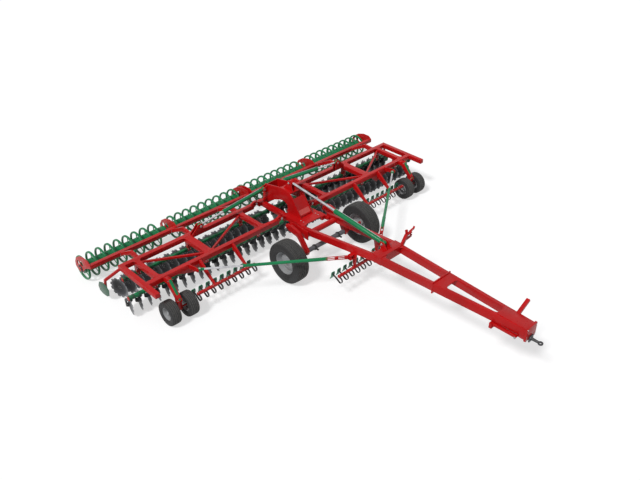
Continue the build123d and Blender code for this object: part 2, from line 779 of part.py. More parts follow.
pieces = []
for side in (-1, 1):
    rear = (side * RAIL_REAR_X, TILT_AXIS_Y + 70, TILT_AXIS_Z + 20)
    middle = (side * RAIL_MIDDLE_X, STATION_Y, STATION_Z)
    front = (side * RAIL_FRONT_X, NOSE_Y + 30, STATION_Z)
    pieces.append(beam(rear, middle, RAIL_WIDTH, RAIL_DEPTH - 20))
    pieces.append(beam(middle, front, RAIL_WIDTH, RAIL_DEPTH))
    pin_start = (side * (RAIL_REAR_X - 125), TILT_AXIS_Y, TILT_AXIS_Z)
    pin_end = (side * (RAIL_REAR_X + 65), TILT_AXIS_Y, TILT_AXIS_Z)
    pieces.append(rod(pin_start, pin_end, TILT_PIN))

    # Plate and pin of the axle arm
    pieces.append(side_plate([
        (CROSS_TUBE_Y - 80, CROSS_TUBE_Z - 120),
        (CROSS_TUBE_Y - 80, CROSS_TUBE_Z + 130),
        (PIVOT_Y - 40, PIVOT_Z + 90),
        (PIVOT_Y + 60, PIVOT_Z + 60),
        (PIVOT_Y + 60, PIVOT_Z - 60),
        (PIVOT_Y - 350, CROSS_TUBE_Z - 120),
    ], side * PIVOT_PLATE_X, PLATE))
    pieces.append(rod((side * 530, PIVOT_Y, PIVOT_Z), (side * 800, PIVOT_Y, PIVOT_Z), PIVOT_RADIUS))

    # Bored plate of the drag strut's knuckle
    pieces.append(side_plate([
        (STRUT_IN_Y - 90, STRUT_Z - 80),
        (STRUT_IN_Y - 110, STRUT_Z + 90),
        (STRUT_IN_Y + 110, STRUT_Z + 90),
        (STRUT_IN_Y + 90, STRUT_Z - 80),
    ], side * KNUCKLE_PLATE_X, KNUCKLE_PLATE, [(STRUT_IN_Y, STRUT_Z, KNUCKLE_PIN + JOURNAL_CLEARANCE)]))

    # Clevis of the tilt cylinder
    pieces.append(side_plate([
        (TILT_CLEVIS_Y - 220, STATION_Z + 60),
        (TILT_CLEVIS_Y - 60, TILT_CLEVIS_Z + 60),
        (TILT_CLEVIS_Y + 50, TILT_CLEVIS_Z + 60),
        (TILT_CLEVIS_Y + 65, TILT_CLEVIS_Z - 30),
        (TILT_CLEVIS_Y + 20, STATION_Z + 60),
    ], side * CLEVIS_X, PLATE, [(TILT_CLEVIS_Y, TILT_CLEVIS_Z, PIN_RADIUS)]))

    # Drop plate of the middle board
    pieces.append(side_plate([
        (MID_BOARD_Y - 70, MID_BOARD_Z + 440),
        (MID_BOARD_Y + 110, MID_BOARD_Z + 440),
        (MID_BOARD_Y + 30, MID_BOARD_Z + BOARD_BAR / 2),
        (MID_BOARD_Y - 30, MID_BOARD_Z + BOARD_BAR / 2),
    ], side * BOARD_DROP_X, BOARD_DROP_PLATE))
clevis_reach = CLEVIS_X + 15
pieces.append(rod((-clevis_reach, TILT_CLEVIS_Y, TILT_CLEVIS_Z), (clevis_reach, TILT_CLEVIS_Y, TILT_CLEVIS_Z),
                  PIN_RADIUS))
tube_end = (CROSS_TUBE_HALF, CROSS_TUBE_Y, CROSS_TUBE_Z)
pieces.append(rod((-CROSS_TUBE_HALF, CROSS_TUBE_Y, CROSS_TUBE_Z), tube_end, CROSS_TUBE_RADIUS))

# Station that carries the clevis, and the flange and shelf ahead of it
station_half_x = RAIL_MIDDLE_X + 40
pieces.append(block(-station_half_x, station_half_x, STATION_Y - STATION_HALF, STATION_Y + STATION_HALF,
                    STATION_Z - 110, STATION_Z + 115))
flange_front = FLANGE_Y - FLANGE_PLATE / 2
flange_back = FLANGE_Y + FLANGE_PLATE / 2
pieces.append(block(-FLANGE_HALF, FLANGE_HALF, flange_front, flange_back, STATION_Z - 160, STATION_Z + 130))
pieces.append(block(-SHELF_HALF, SHELF_HALF, flange_back - SHELF_LENGTH, flange_back,
                    STATION_Z + 70, STATION_Z + 100))

# Box nose and its front plate
pieces.append(block(-NOSE_HALF, NOSE_HALF, NOSE_Y + 20, NOSE_Y + 20 + NOSE_LENGTH,
                    STATION_Z - 180, STATION_Z + 110))
nose_front = NOSE_Y - 30
pieces.append(block(-NOSE_PLATE_HALF, NOSE_PLATE_HALF, nose_front, nose_front + NOSE_PLATE,
                    STATION_Z - 200, STATION_Z + 130))

# Rests for the folded wing
rest_y = STATION_Y - 60
pieces.append(beam((RAIL_MIDDLE_X + 30, rest_y, STATION_Z + 40), (REST_X, rest_y, REST_TOP_Z), 60, 50))
pieces.append(beam((REST_X, rest_y, REST_TOP_Z - 20), (REST_X + 10, rest_y + 40, REST_TOP_Z + 100), 60, 40))
pieces.append(beam((REST_X, rest_y, REST_TOP_Z - 20), (REST_X + 120, rest_y - 30, REST_TOP_Z + 40), 60, 40))
pieces.append(beam((NOSE_HALF - 45, NOSE_REST_Y, STATION_Z + 60),
                   (NOSE_HALF + 355, NOSE_REST_Y, STATION_Z + 280), 70, 40))
save("drawbar", joined(pieces))

eye_ring = Cylinder(EYE_OUTER, EYE_HEIGHT) - Cylinder(HITCH_BORE_RADIUS, EYE_HEIGHT)
eye_ring = Pos(0, HITCH_Y, HITCH_Z) * eye_ring
shank = rod((0, nose_front, HITCH_Z), (0, HITCH_Y + 45, HITCH_Z), SHANK_RADIUS)
shank = shank - Pos(0, HITCH_Y, HITCH_Z) * Cylinder(HITCH_BORE_RADIUS + 14, 2 * SHANK_RADIUS)
collar = Pos(0, nose_front - 15, HITCH_Z) * Box(COLLAR, 30, COLLAR)
save("towing_eye", joined([eye_ring, shank, collar]))


# Centre frame and tower

pieces = []
for side in (-1, 1):
    rail_x = side * CENTRE_RAIL_X
    pieces.append(block(rail_x - half, rail_x + half, TILT_AXIS_Y + 90, REAR_BEAM_Y + 90,
                        beam_low, beam_high))
    pieces.append(side_plate([
        (TILT_AXIS_Y - 55, TILT_AXIS_Z - 20),
        (TILT_AXIS_Y - 40, TILT_AXIS_Z + 45),
        (TILT_AXIS_Y + 30, TILT_AXIS_Z + 60),
        (TILT_AXIS_Y + 330, TILT_AXIS_Z + 60),
        (TILT_AXIS_Y + 330, TILT_AXIS_Z - 60),
        (TILT_AXIS_Y + 10, TILT_AXIS_Z - 60),
    ], side * 400, 40, [(TILT_AXIS_Y, TILT_AXIS_Z, TILT_PIN + JOURNAL_CLEARANCE)]))
for y in (FRONT_BEAM_Y, REAR_BEAM_Y):
    pieces.append(block(-460, 460, y - half, y + half, beam_low, beam_high))
    for side in (-1, 1):
        ear = [
            (side * 440, beam_low),
            (side * 440, beam_high + 30),
            (side * (FOLD_AXIS_X - 20), FOLD_AXIS_Z + 48),
            (side * (FOLD_AXIS_X + 35), FOLD_AXIS_Z + 35),
            (side * (FOLD_AXIS_X + 40), FOLD_AXIS_Z - 25),
            (side * (FOLD_AXIS_X - 20), FOLD_AXIS_Z - 55),
        ]
        for offset in (-50, 50):
            pieces.append(cross_plate(ear, y + offset, PLATE))
        pin_x = side * FOLD_AXIS_X
        pieces.append(rod((pin_x, y - 70, FOLD_AXIS_Z), (pin_x, y + 70, FOLD_AXIS_Z), PIN_RADIUS))
pieces.append(block(-300, 300, TILT_AXIS_Y + 120, -280, beam_high - 30, beam_high))
save("centre_frame", joined(pieces))

pieces = []
for side in (-1, 1):
    pieces.append(side_plate([
        (-760, beam_high),
        (-400, 1500),
        (-330, 1570),
        (-220, 1615),
        (-60, 1615),
        (120, 1600),
        (660, 1490),
        (760, 1180),
        (780, beam_high),
        (560, beam_high),
        (300, 1140),
        (60, 1240),
        (-120, 1260),
        (-220, 1200),
        (-240, 1090),
        (-180, beam_high),
    ], side * TOWER_HALF, PLATE))
    pieces.append(side_plate([
        (-280, 1540), (EYE_Y - 70, EYE_Z + 20), (EYE_Y - 30, EYE_Z + 65), (EYE_Y + 40, EYE_Z + 60),
        (EYE_Y + 70, EYE_Z - 10), (60, 1540),
    ], side * 62, PLATE))
    pieces.append(rod((side * 62, EYE_Y, EYE_Z), (side * 86, EYE_Y, EYE_Z), PIN_RADIUS))
    for offset in (-45, 45):
        pieces.append(cross_plate([
            (side * 190, 1250), (side * 190, 1480), (side * (FOLD_LUG_X + 30), FOLD_LUG_Z + 50),
            (side * (FOLD_LUG_X + 50), FOLD_LUG_Z), (side * (FOLD_LUG_X + 20), FOLD_LUG_Z - 50),
        ], FOLD_CYLINDER_Y + offset, PLATE))
    pieces.append(rod((side * FOLD_LUG_X, FOLD_CYLINDER_Y - 60, FOLD_LUG_Z),
                      (side * FOLD_LUG_X, FOLD_CYLINDER_Y + 60, FOLD_LUG_Z), PIN_RADIUS))
pieces.append(beam((0, TOWER_FOOT_Y, TOWER_FOOT_Z), (0, TOWER_TOP_Y, TOWER_TOP_Z), 2 * TOWER_HALF - 10, 16))
pieces.append(block(-TOWER_HALF + 5, TOWER_HALF - 5, -300, 140, TOWER_DECK_Z - PLATE, TOWER_DECK_Z))
pieces.append(block(-TOWER_HALF + 5, TOWER_HALF - 5, TOWER_REAR_Y - half_plate, TOWER_REAR_Y + half_plate,
                    beam_high, TOWER_DECK_Z - 70))
save("tower", joined(pieces))


# Cylinders

def barrel(start, end, length, radius, bore, eye_width):
    """The outer tube of a cylinder with its eye at the start."""
    way = (Vector(*end) - Vector(*start)).normalized()
    first = Vector(*start) + way * (PIN_RADIUS + 55)
    last = Vector(*start) + way * length
    neck = Vector(*start) + way * (PIN_RADIUS + 14)
    body = rod(tuple(first), tuple(last), radius) + rod(tuple(neck), tuple(first), eye_width / 2 - 6)
    hollow = rod(tuple(first + way * 30), tuple(last + way * 10), bore)
    return body - hollow


def eye_at(centre, across, width, bore=PIN_RADIUS + JOURNAL_CLEARANCE):
    """A bored eye about a pin at a centre, its pin lying along across."""
    flat = Plane(origin=centre, z_dir=across)
    ring = Circle(PIN_RADIUS + 24) - Circle(bore)
    return extrude(flat * ring, width / 2, both=True)


def closed_eye(centre, across, width):
    """An eye with its pin inside."""
    flat = Plane(origin=centre, z_dir=across)
    return extrude(flat * Circle(PIN_RADIUS + 24), width / 2, both=True)


def cylinder(start, end, length, overlap, radius, rod_radius, across, width):
    """A barrel pinned at the start and a rod that carries its own pin at the end."""
    way = (Vector(*end) - Vector(*start)).normalized()
    gap = rod_radius + ROD_CLEARANCE
    outer = barrel(start, end, length, radius, gap, width) + eye_at(start, across, width)
    inner_end = Vector(*start) + way * (length - overlap)
    rod_end = Vector(*end) - way * (PIN_RADIUS + 14)
    inner = rod(tuple(inner_end), tuple(rod_end), rod_radius) + closed_eye(end, across, width)
    return outer, inner


outer, inner = cylinder((0, TILT_CLEVIS_Y, TILT_CLEVIS_Z), (0, EYE_Y, EYE_Z), TILT_BARREL, TILT_OVERLAP,
                        TILT_BARREL_RADIUS, TILT_ROD_RADIUS, (1, 0, 0), TILT_EYE_WIDTH)
save("tilt_barrel", outer)
save("tilt_rod", inner)
outer, inner = cylinder((FOLD_LUG_X, FOLD_CYLINDER_Y, FOLD_LUG_Z), (FOLD_PIN_X, FOLD_CYLINDER_Y, FOLD_PIN_Z),
                        FOLD_BARREL, ROD_OVERLAP, FOLD_BARREL_RADIUS, FOLD_ROD_RADIUS, (0, 1, 0),
                        FOLD_EYE_WIDTH)
both_sides("fold_barrel", outer)
both_sides("fold_rod", inner)


# Drag struts

strut_start = (STRUT_IN_X + 60, STRUT_IN_Y, STRUT_Z)
strut_end = (STRUT_OUT_X, STRUT_OUT_Y, STRUT_Z)
way = (Vector(*strut_end) - Vector(*strut_start)).normalized()
tube_start = tuple(Vector(*strut_start) + way * (PIN_RADIUS + 14))
tube_end = tuple(Vector(*strut_start) + way * STRUT_TUBE)
inner_start = tuple(Vector(*strut_start) + way * (STRUT_TUBE - ROD_OVERLAP))
inner_end = tuple(Vector(*strut_end) - way * (PIN_RADIUS + 14))
knuckle = joined([
    block(STRUT_IN_X - 26, STRUT_IN_X - 6, STRUT_IN_Y - 60, STRUT_IN_Y + 60, STRUT_Z - 70, STRUT_Z + 70),
    block(STRUT_IN_X - 10, STRUT_IN_X + 110, STRUT_IN_Y - 50, STRUT_IN_Y + 50, STRUT_Z - 65, STRUT_Z - 45),
    block(STRUT_IN_X - 10, STRUT_IN_X + 110, STRUT_IN_Y - 50, STRUT_IN_Y + 50, STRUT_Z + 45, STRUT_Z + 65),
    rod((*strut_start[:2], STRUT_Z - 60), (*strut_start[:2], STRUT_Z + 60), PIN_RADIUS),
    rod((STRUT_IN_X - 53, STRUT_IN_Y, STRUT_Z), (STRUT_IN_X - 10, STRUT_IN_Y, STRUT_Z), KNUCKLE_PIN),
])
both_sides("strut_knuckle", knuckle)
strut = rod(tube_start, tube_end, STRUT_RADIUS)
strut = strut - rod(tube_start, tuple(Vector(*tube_end) + way * 10), STRUT_ROD_RADIUS + STRUT_ROD_GAP)
both_sides("strut_tube", strut + eye_at(strut_start, (0, 0, 1), 60))
both_sides("strut_rod", rod(inner_start, inner_end, STRUT_ROD_RADIUS) + closed_eye(strut_end, (0, 0, 1), 50))


# Parking stand, folded up beside the nose of the drawbar

stand = joined([
    beam((STAND_X, STAND_Y, STAND_Z), (STAND_X, STAND_Y + STAND_LENGTH, STAND_Z), STAND_LEG, STAND_LEG),
    block(STAND_X - 70, STAND_X + 70, STAND_Y + STAND_LENGTH - PLATE, STAND_Y + STAND_LENGTH,
          STAND_Z - 90, STAND_Z + 40),
    rod((STAND_X - 60, STAND_Y, STAND_Z), (-NOSE_HALF, STAND_Y, STAND_Z), STAND_PIN_RADIUS),
])
save("parking_stand", stand)
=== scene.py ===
import random
from collections import namedtuple
from math import cos, pi, radians, sin, sqrt

import bmesh
import bpy
from mathutils import Matrix, Vector


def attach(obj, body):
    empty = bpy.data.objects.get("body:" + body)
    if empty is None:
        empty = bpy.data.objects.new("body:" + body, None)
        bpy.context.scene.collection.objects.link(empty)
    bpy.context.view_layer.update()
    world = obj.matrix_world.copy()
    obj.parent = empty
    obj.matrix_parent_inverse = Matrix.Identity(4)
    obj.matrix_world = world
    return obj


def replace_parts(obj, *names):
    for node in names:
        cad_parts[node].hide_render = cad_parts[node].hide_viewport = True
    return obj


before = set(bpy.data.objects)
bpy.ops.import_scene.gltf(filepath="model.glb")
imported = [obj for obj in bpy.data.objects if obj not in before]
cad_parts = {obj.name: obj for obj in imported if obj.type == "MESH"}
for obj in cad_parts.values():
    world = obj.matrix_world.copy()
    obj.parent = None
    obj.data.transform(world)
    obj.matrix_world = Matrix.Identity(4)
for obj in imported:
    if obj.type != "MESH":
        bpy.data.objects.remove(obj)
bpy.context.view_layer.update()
scene = bpy.context.scene

# Sizes are in part millimetres, with the axes of the frame. The frame lies SHIFT further back.
SHIFT = 2625.5
SIDES = (("_left", 1), ("_right", -1))
WAYS = (-1, 1)
ACROSS = Vector((1, 0, 0))
BACK = Vector((0, 1, 0))
UP = Vector((0, 0, 1))


# Shapes

class Shape:
    """Points and faces in part millimetres, with a value for each point: real wear on discs, dust and a
    painted sheen on tyres.
    """

    def __init__(self, points=(), faces=(), wear_and_sheen=()):
        self.points = [Vector(point) for point in points]
        self.faces = list(faces)
        self.wear_and_sheen = list(wear_and_sheen) or [0.0] * len(self.points)

    def add(self, *others):
        for other in others:
            start = len(self.points)
            self.points += other.points
            self.faces += [tuple(start + i for i in face) for face in other.faces]
            self.wear_and_sheen += other.wear_and_sheen
        return self

    def moved(self, matrix):
        return Shape([matrix @ point for point in self.points], self.faces, self.wear_and_sheen)

    def mirrored(self):
        """The same shape on the right side of the machine."""
        points = [(-point.x, point.y, point.z) for point in self.points]
        return Shape(points, [tuple(reversed(face)) for face in self.faces], self.wear_and_sheen)


def both_ways(half):
    """A profile and its mirror image, as one loop."""
    return [*half, *((-a, b) for a, b in reversed(half))]


def around(count, radius, turn=0.0):
    """Points round a circle."""
    angles = [2 * pi * (k + turn) / count for k in range(count)]
    return [(radius * cos(angle), radius * sin(angle)) for angle in angles]


def corners(x, y, z, half_x, half_z):
    """Four places round a point, in an upright plane across the machine."""
    return [(x + a, y, z + b) for a in (-half_x, half_x) for b in (-half_z, half_z)]


def block(x0, x1, y0, y1, z0, z1):
    """A box between two corners."""
    points = [(x, y, z) for x in (x0, x1) for y in (y0, y1) for z in (z0, z1)]
    faces = [(0, 1, 3, 2), (4, 6, 7, 5), (0, 4, 5, 1), (2, 3, 7, 6), (0, 2, 6, 4), (1, 5, 7, 3)]
    return Shape(points, faces)


def prism(low, high):
    """A solid between two outlines with the same count of points."""
    count = len(low)
    faces = [tuple(range(count)), tuple(range(2 * count - 1, count - 1, -1))]
    faces += [(i, i + count, (i + 1) % count + count, (i + 1) % count) for i in range(count)]
    return Shape([*low, *high], faces)


def plate(outline, middle, thickness, axis="x"):
    """A flat plate with a drawn outline, across one axis."""
    place = "xyz".index(axis)
    layers = []
    for level in (middle - thickness / 2, middle + thickness / 2):
        layers.append([(*point[:place], level, *point[place:]) for point in outline])
    return prism(*layers)


def spun(lines, place=(0, 0, 0), wear_and_sheen=()):
    """A closed skin over (offset, radius) loops that are spread round the X axis."""
    x, y, z = place
    count = len(lines[0])
    points = []
    faces = []
    for i, line in enumerate(lines):
        angle = 2 * pi * i / len(lines)
        here, ahead = i * count, (i + 1) % len(lines) * count
        for k, (offset, radius) in enumerate(line):
            m = (k + 1) % count
            points.append((x + offset, y + radius * cos(angle), z + radius * sin(angle)))
            faces.append((here + k, ahead + k, ahead + m, here + m))
    return Shape(points, faces, wear_and_sheen)


def turned(profile, segments, place=(0, 0, 0)):
    """A closed (offset, radius) loop turned about the X axis."""
    return spun([profile] * segments, place)


def pointing(start, end):
    """The matrix that lays the X axis along a line."""
    start, end = Vector(start), Vector(end)
    turn = ACROSS.rotation_difference(end - start).to_matrix().to_4x4()
    return Matrix.Translation(start) @ turn


def stepped(start, end, steps, segments):
    """A round bar along a line, from (distance, radius) steps, closed at both ends."""
    profile = [(steps[0][0], 0.0), *steps, (steps[-1][0], 0.0)]
    return turned(profile, segments).moved(pointing(start, end))


def chamfered(start, end, radius, cut):
    """The (distance, radius) steps of a round bar with cut edges."""
    return [(start, radius - cut), (start + cut, radius), (end - cut, radius), (end, radius - cut)]


def rod(start, end, radius, segments):
    """A round bar with small end chamfers."""
    length = (Vector(end) - Vector(start)).length
    cut = min(2.0, length / 3, radius / 3)
    return stepped(start, end, chamfered(0, length, radius, cut), segments)


def ring(centre, axis, outer, inner, width, segments=32):
    """A bored eye about an axis."""
    edge, cut = -width / 2, 3.0
    loop = both_ways([(edge + cut, inner), (edge, inner + cut), (edge, outer - cut), (edge + cut, outer)])
    return turned(loop, segments).moved(pointing(centre, Vector(centre) + Vector(axis)))


def swept(path, width, depth, across, cut=0.2):
    """A bar with cut corners along a path, square to a fixed direction."""
    sides = 8
    across = Vector(across).normalized()
    path = [Vector(point) for point in path]
    count = len(path)
    widths = width if isinstance(width, list) else [width] * count
    depths = depth if isinstance(depth, list) else [depth] * count
    points = []
    for i, point in enumerate(path):
        tangent = (path[min(i + 1, count - 1)] - path[max(i - 1, 0)]).normalized()
        normal = tangent.cross(across).normalized()
        w, d = widths[i] / 2, depths[i] / 2
        c = min(w, d) * cut * 2
        section = both_ways([(w - c, -d), (w, -d + c), (w, d - c), (w - c, d)])
        points += [point + across * a + normal * b for a, b in section]
    faces = [tuple(range(sides)), tuple(range(sides * count - 1, sides * (count - 1) - 1, -1))]
    for i in range(0, sides * (count - 1), sides):
        for k in range(sides):
            m = (k + 1) % sides
            faces.append((i + k, i + sides + k, i + sides + m, i + m))
    return Shape(points, faces)


def smooth_line(points):
    """A rounded line, from cutting its corners twice."""
    line = [Vector(point) for point in points]
    for _ in range(2):
        cuts = [a.lerp(b, part) for a, b in zip(line, line[1:]) for part in (0.25, 0.75)]
        line = [line[0], *cuts, line[-1]]
    return line


def bolt(point, axis, size=16.0, washer=True):
    """A hex head on its washer, seated at a point and looking along an axis."""
    made = Shape()
    if washer:
        wide = size * 1.05
        made.add(turned([(-1, 0), (-1, wide), (2.5, wide), (3.2, size * 0.95), (3.2, 0)], 16))
    wide = size * 0.86
    top = 3 + size * 0.62
    made.add(turned([(2, 0), (2, wide), (top - 1.5, wide), (top, size * 0.72), (top, 0)], 6))
    return made.moved(pointing(point, Vector(point) + Vector(axis).normalized()))


def bolts(points, axis, size=16.0, washer=True):
    """Bolts of one size that all look the same way."""
    return Shape().add(*(bolt(point, axis, size, washer) for point in points))


# Pieces

def placed(name, data):
    """An object in the scene."""
    thing = bpy.data.objects.new(name, data)
    scene.collection.objects.link(thing)
    return thing


def round_edges(bm, width):
    """Bevel the edges that are sharper than 30 degrees."""
    joined = [edge for edge in bm.edges if len(edge.link_faces) == 2]
    sharp = [edge for edge in joined if edge.calc_face_angle(0.0) > radians(30)]
    bmesh.ops.bevel(bm, geom=sharp, offset=width, offset_type="OFFSET", segments=2, profile=0.6,
                    affect="EDGES", clamp_overlap=True, harden_normals=False)


def finish_mesh(bm, name, look, body, smooth):
    """A bmesh as a piece on its body, with soft shading below an angle."""
    bmesh.ops.recalc_face_normals(bm, faces=bm.faces)
    mesh = bpy.data.meshes.new(name)
    bm.to_mesh(mesh)
    bm.free()
    mesh.polygons.foreach_set("use_smooth", [True] * len(mesh.polygons))
    mesh.set_sharp_from_angle(angle=radians(smooth))
    mesh.materials.append(look.material)
    piece = placed(name, mesh)
    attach(piece, body)
    return piece


def make(name, shape, look, body, replaces=(), smooth=35, bevel=0.0):
    """One piece of the scene on its body, with its look."""
    bm = bmesh.new()
    layer = bm.verts.layers.float.new("wear_and_sheen")
    verts = []
    for point, wear_and_sheen in zip(shape.points, shape.wear_and_sheen):
        vert = bm.verts.new((point.x / 1000, (point.y + SHIFT) / 1000, point.z / 1000))
        vert[layer] = wear_and_sheen
        verts.append(vert)
    for face in shape.faces:
        bm.faces.new([verts[i] for i in face])
    bmesh.ops.remove_doubles(bm, verts=bm.verts, dist=1e-6)
    bmesh.ops.dissolve_degenerate(bm, edges=bm.edges, dist=1e-7)
    if bevel:
        round_edges(bm, bevel)
    piece = finish_mesh(bm, name, look, body, smooth)
    if replaces:
        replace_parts(piece, *replaces)


def make_pair(name, shape, look, body, replaces=(), **finish):
    """A piece on the left side of the machine and its mirror image on the right."""
    for side, sign in SIDES:
        made = shape if sign > 0 else shape.mirrored()
        make(name + side, made, look, body + side, [node + side for node in replaces], **finish)


def dressed(node, look, body, width=0.005):
    """A copy of a node of the frame with rounded edges."""
    bm = bmesh.new()
    bm.from_mesh(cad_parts[node].data)
    bmesh.ops.remove_doubles(bm, verts=bm.verts, dist=2e-5)
    bmesh.ops.dissolve_limit(bm, angle_limit=radians(0.8), verts=bm.verts, edges=bm.edges)
    round_edges(bm, width)
    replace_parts(finish_mesh(bm, node + "_dressed", look, body, 40), node)


# Materials

class Nodes:
    """A short way to write the nodes of one tree."""

    def __init__(self, tree):
        self.tree = tree

    def fill(self, node, inputs):
        """Give a node's inputs their values, or link them to outputs."""
        for key, value in inputs.items():
            if isinstance(value, bpy.types.NodeSocket):
                self.tree.links.new(value, node.inputs[key])
            else:
                node.inputs[key].default_value = value

    def add(self, kind, inputs=None, **settings):
        node = self.tree.nodes.new("ShaderNode" + kind)
        for key, value in settings.items():
            setattr(node, key, value)
        self.fill(node, inputs or {})
        return node

    def maths(self, operation, first, second):
        return self.add("Math", {0: first, 1: second}, operation=operation).outputs[0]

    def times(self, first, second):
        return self.maths("MULTIPLY", first, second)


class Surface(Nodes):
    """The nodes round the shader of one material."""

    def __init__(self, name, metallic=0.0, coat=0.0, coat_roughness=0.1, specular=0.5):
        self.material = bpy.data.materials.new(name)
        self.material.use_nodes = True
        super().__init__(self.material.node_tree)
        self.shader = self.tree.nodes["Principled BSDF"]
        self.fill(self.shader, {"Metallic": metallic, "Coat Weight": coat,
                                "Coat Roughness": coat_roughness, "Specular IOR Level": specular})
        self.place = self.add("TexCoord").outputs["Object"]

    def noise(self, scale, detail=3.0, rough=0.55):
        inputs = {"Scale": scale, "Detail": detail, "Roughness": rough, "Vector": self.place}
        return self.add("TexNoise", inputs).outputs["Fac"]

    def ramp(self, value, low, high, start=0.0, end=1.0):
        inputs = {"From Min": low, "From Max": high, "To Min": start, "To Max": end, "Value": value}
        return self.add("MapRange", inputs).outputs["Result"]

    def mix(self, factor, first, second):
        first, second = [(*tone, 1.0) if isinstance(tone, tuple) else tone for tone in (first, second)]
        inputs = {"Factor": factor, 6: first, 7: second}
        return self.add("Mix", inputs, data_type="RGBA").outputs[2]

    def edges(self, low, high):
        """One along the edges, and nothing on the flats."""
        return self.ramp(self.add("NewGeometry").outputs["Pointiness"], low, high)

    def low_down(self, top, bottom):
        """How near a point is to the ground, from 0 to 1."""
        height = self.add("SeparateXYZ", {"Vector": self.place}).outputs["Z"]
        return self.ramp(height, top, bottom)

    def wear_and_sheen(self):
        """The per-point value of the shape: real wear on discs, dust and a painted sheen on tyres."""
        return self.add("Attribute", attribute_name="wear_and_sheen").outputs["Fac"]

    def finish(self, colour, rough, grain, strength, distance):
        """Link the colour, the roughness and a fine bump to the shader."""
        bump = self.add("Bump", {"Strength": strength, "Distance": distance, "Height": grain})
        self.fill(self.shader, {"Base Color": colour, "Roughness": rough, "Normal": bump.outputs["Normal"]})
        return self.material


DRY_SOIL = (0.24, 0.2, 0.16)
# The lighter tone of tyres: partly dust, and on the tread a painted sheen.
TYRE_DUST_AND_SHEEN = (0.11, 0.107, 0.1)
RUBBED_METAL = (0.2, 0.2, 0.21)
BRIGHT_METAL = (0.42, 0.42, 0.44)


def shade(colour, factor):
    return tuple(min(1.0, part * factor) for part in colour)


def paint(name, colour, gloss=0.32, dirt=0.35):
    """Sprayed gloss paint, a little uneven, lighter along its edges as wear and a painted highlight, and
    dusty low down.
    """
    n = Surface(name, coat=0.05, coat_roughness=0.15, specular=0.2)
    tone = n.mix(n.ramp(n.noise(1.7, 4.0), 0.3, 0.7), shade(colour, 0.86), shade(colour, 1.12))
    # Edges lightened where the noise allows: partly wear, partly a painted highlight along the edges.
    worn = n.times(n.edges(0.535, 0.6), n.ramp(n.noise(38.0, 4.0, 0.7), 0.5, 0.62))
    tone = n.mix(n.times(worn, 0.35), tone, shade(colour, 1.6))
    dust = n.times(n.low_down(0.85, 0.1), n.ramp(n.noise(9.0, 5.0, 0.7), 0.42, 0.72))
    tone = n.mix(n.times(dust, dirt), tone, DRY_SOIL)
    rough = n.ramp(n.noise(14.0, 4.0, 0.65), 0.3, 0.7, gloss - 0.07, gloss + 0.12)
    return n.finish(tone, rough, n.noise(260.0, 2.0), 0.12, 0.0006)


def cast(name, colour, rough=0.5):
    """Cast or forged metal under satin black paint."""
    n = Surface(name, coat=0.1, coat_roughness=0.3)
    grain = n.noise(170.0, 5.0, 0.7)
    tone = n.mix(n.ramp(n.noise(6.0, 4.0), 0.35, 0.7), shade(colour, 0.75), shade(colour, 1.5))
    worn = n.times(n.edges(0.54, 0.6), n.ramp(n.noise(60.0, 3.0), 0.5, 0.65))
    tone = n.mix(n.times(worn, 0.5), tone, RUBBED_METAL)
    return n.finish(tone, n.ramp(grain, 0.3, 0.7, rough - 0.08, rough + 0.15), grain, 0.35, 0.0012)


def steel(name, colour, rough, metallic=1.0):
    """Bare steel with a fine grain, brighter where the soil has worn it."""
    n = Surface(name, metallic=metallic)
    fine = n.noise(220.0, 3.0, 0.6)
    tone = n.mix(n.ramp(n.noise(7.0, 4.0), 0.35, 0.68), shade(colour, 0.8), shade(colour, 1.2))
    bright = n.times(n.wear_and_sheen(), n.ramp(n.noise(26.0, 5.0, 0.65), 0.32, 0.6, 0.35, 1.0))
    tone = n.mix(bright, tone, BRIGHT_METAL)
    return n.finish(tone, n.ramp(fine, 0.3, 0.7, rough - 0.08, rough + 0.14), fine, 0.1, 0.0005)


def rubber(name, colour):
    """Tyre rubber with a faint grain, lighter where the per-point value is high: real dust, and on the tread
    a painted sheen.
    """
    n = Surface(name)
    tone = n.mix(n.ramp(n.noise(5.0, 4.0), 0.3, 0.7), shade(colour, 0.75), shade(colour, 1.35))
    # Lightened towards the dust tone: real dust, and on the tread a painted sheen.
    dust = n.times(n.wear_and_sheen(), n.ramp(n.noise(22.0, 5.0, 0.7), 0.3, 0.75, 0.25, 1.0))
    tone = n.mix(dust, tone, TYRE_DUST_AND_SHEEN)
    rough = n.ramp(n.noise(40.0, 3.0), 0.3, 0.7, 0.6, 0.85)
    return n.finish(tone, rough, n.noise(420.0, 3.0), 0.25, 0.0008)


# A look is a material and the slot that it is shown for.
Look = namedtuple("Look", "material slot")
RED = Look(paint("red paint", (0.50, 0.005, 0.006)), "red_paint")
GREEN = Look(paint("green paint", (0.008, 0.21, 0.075)), "green_paint")
# A lighter copy of the green paint for the paddles, as painted light on their shaded front faces.
PADDLE_GREEN_PAINTED_LIGHT = Look(paint("paddle green painted light", (0.025, 0.29, 0.14)), "green_paint")
GREY = Look(paint("grey rim paint", (0.33, 0.34, 0.35), gloss=0.42, dirt=0.5), "grey_paint")
BLACK = Look(cast("black casting", (0.012, 0.012, 0.013)), "cast_arm")
SPRING = Look(cast("black spring steel", (0.01, 0.01, 0.011), rough=0.42), "spring_steel")
FORGED = Look(cast("forged eye steel", (0.03, 0.03, 0.033), rough=0.45), "eye_steel")
DISC_DARK = Look(steel("dark disc steel", (0.02, 0.021, 0.025), 0.45, metallic=0.3), "disc_steel")
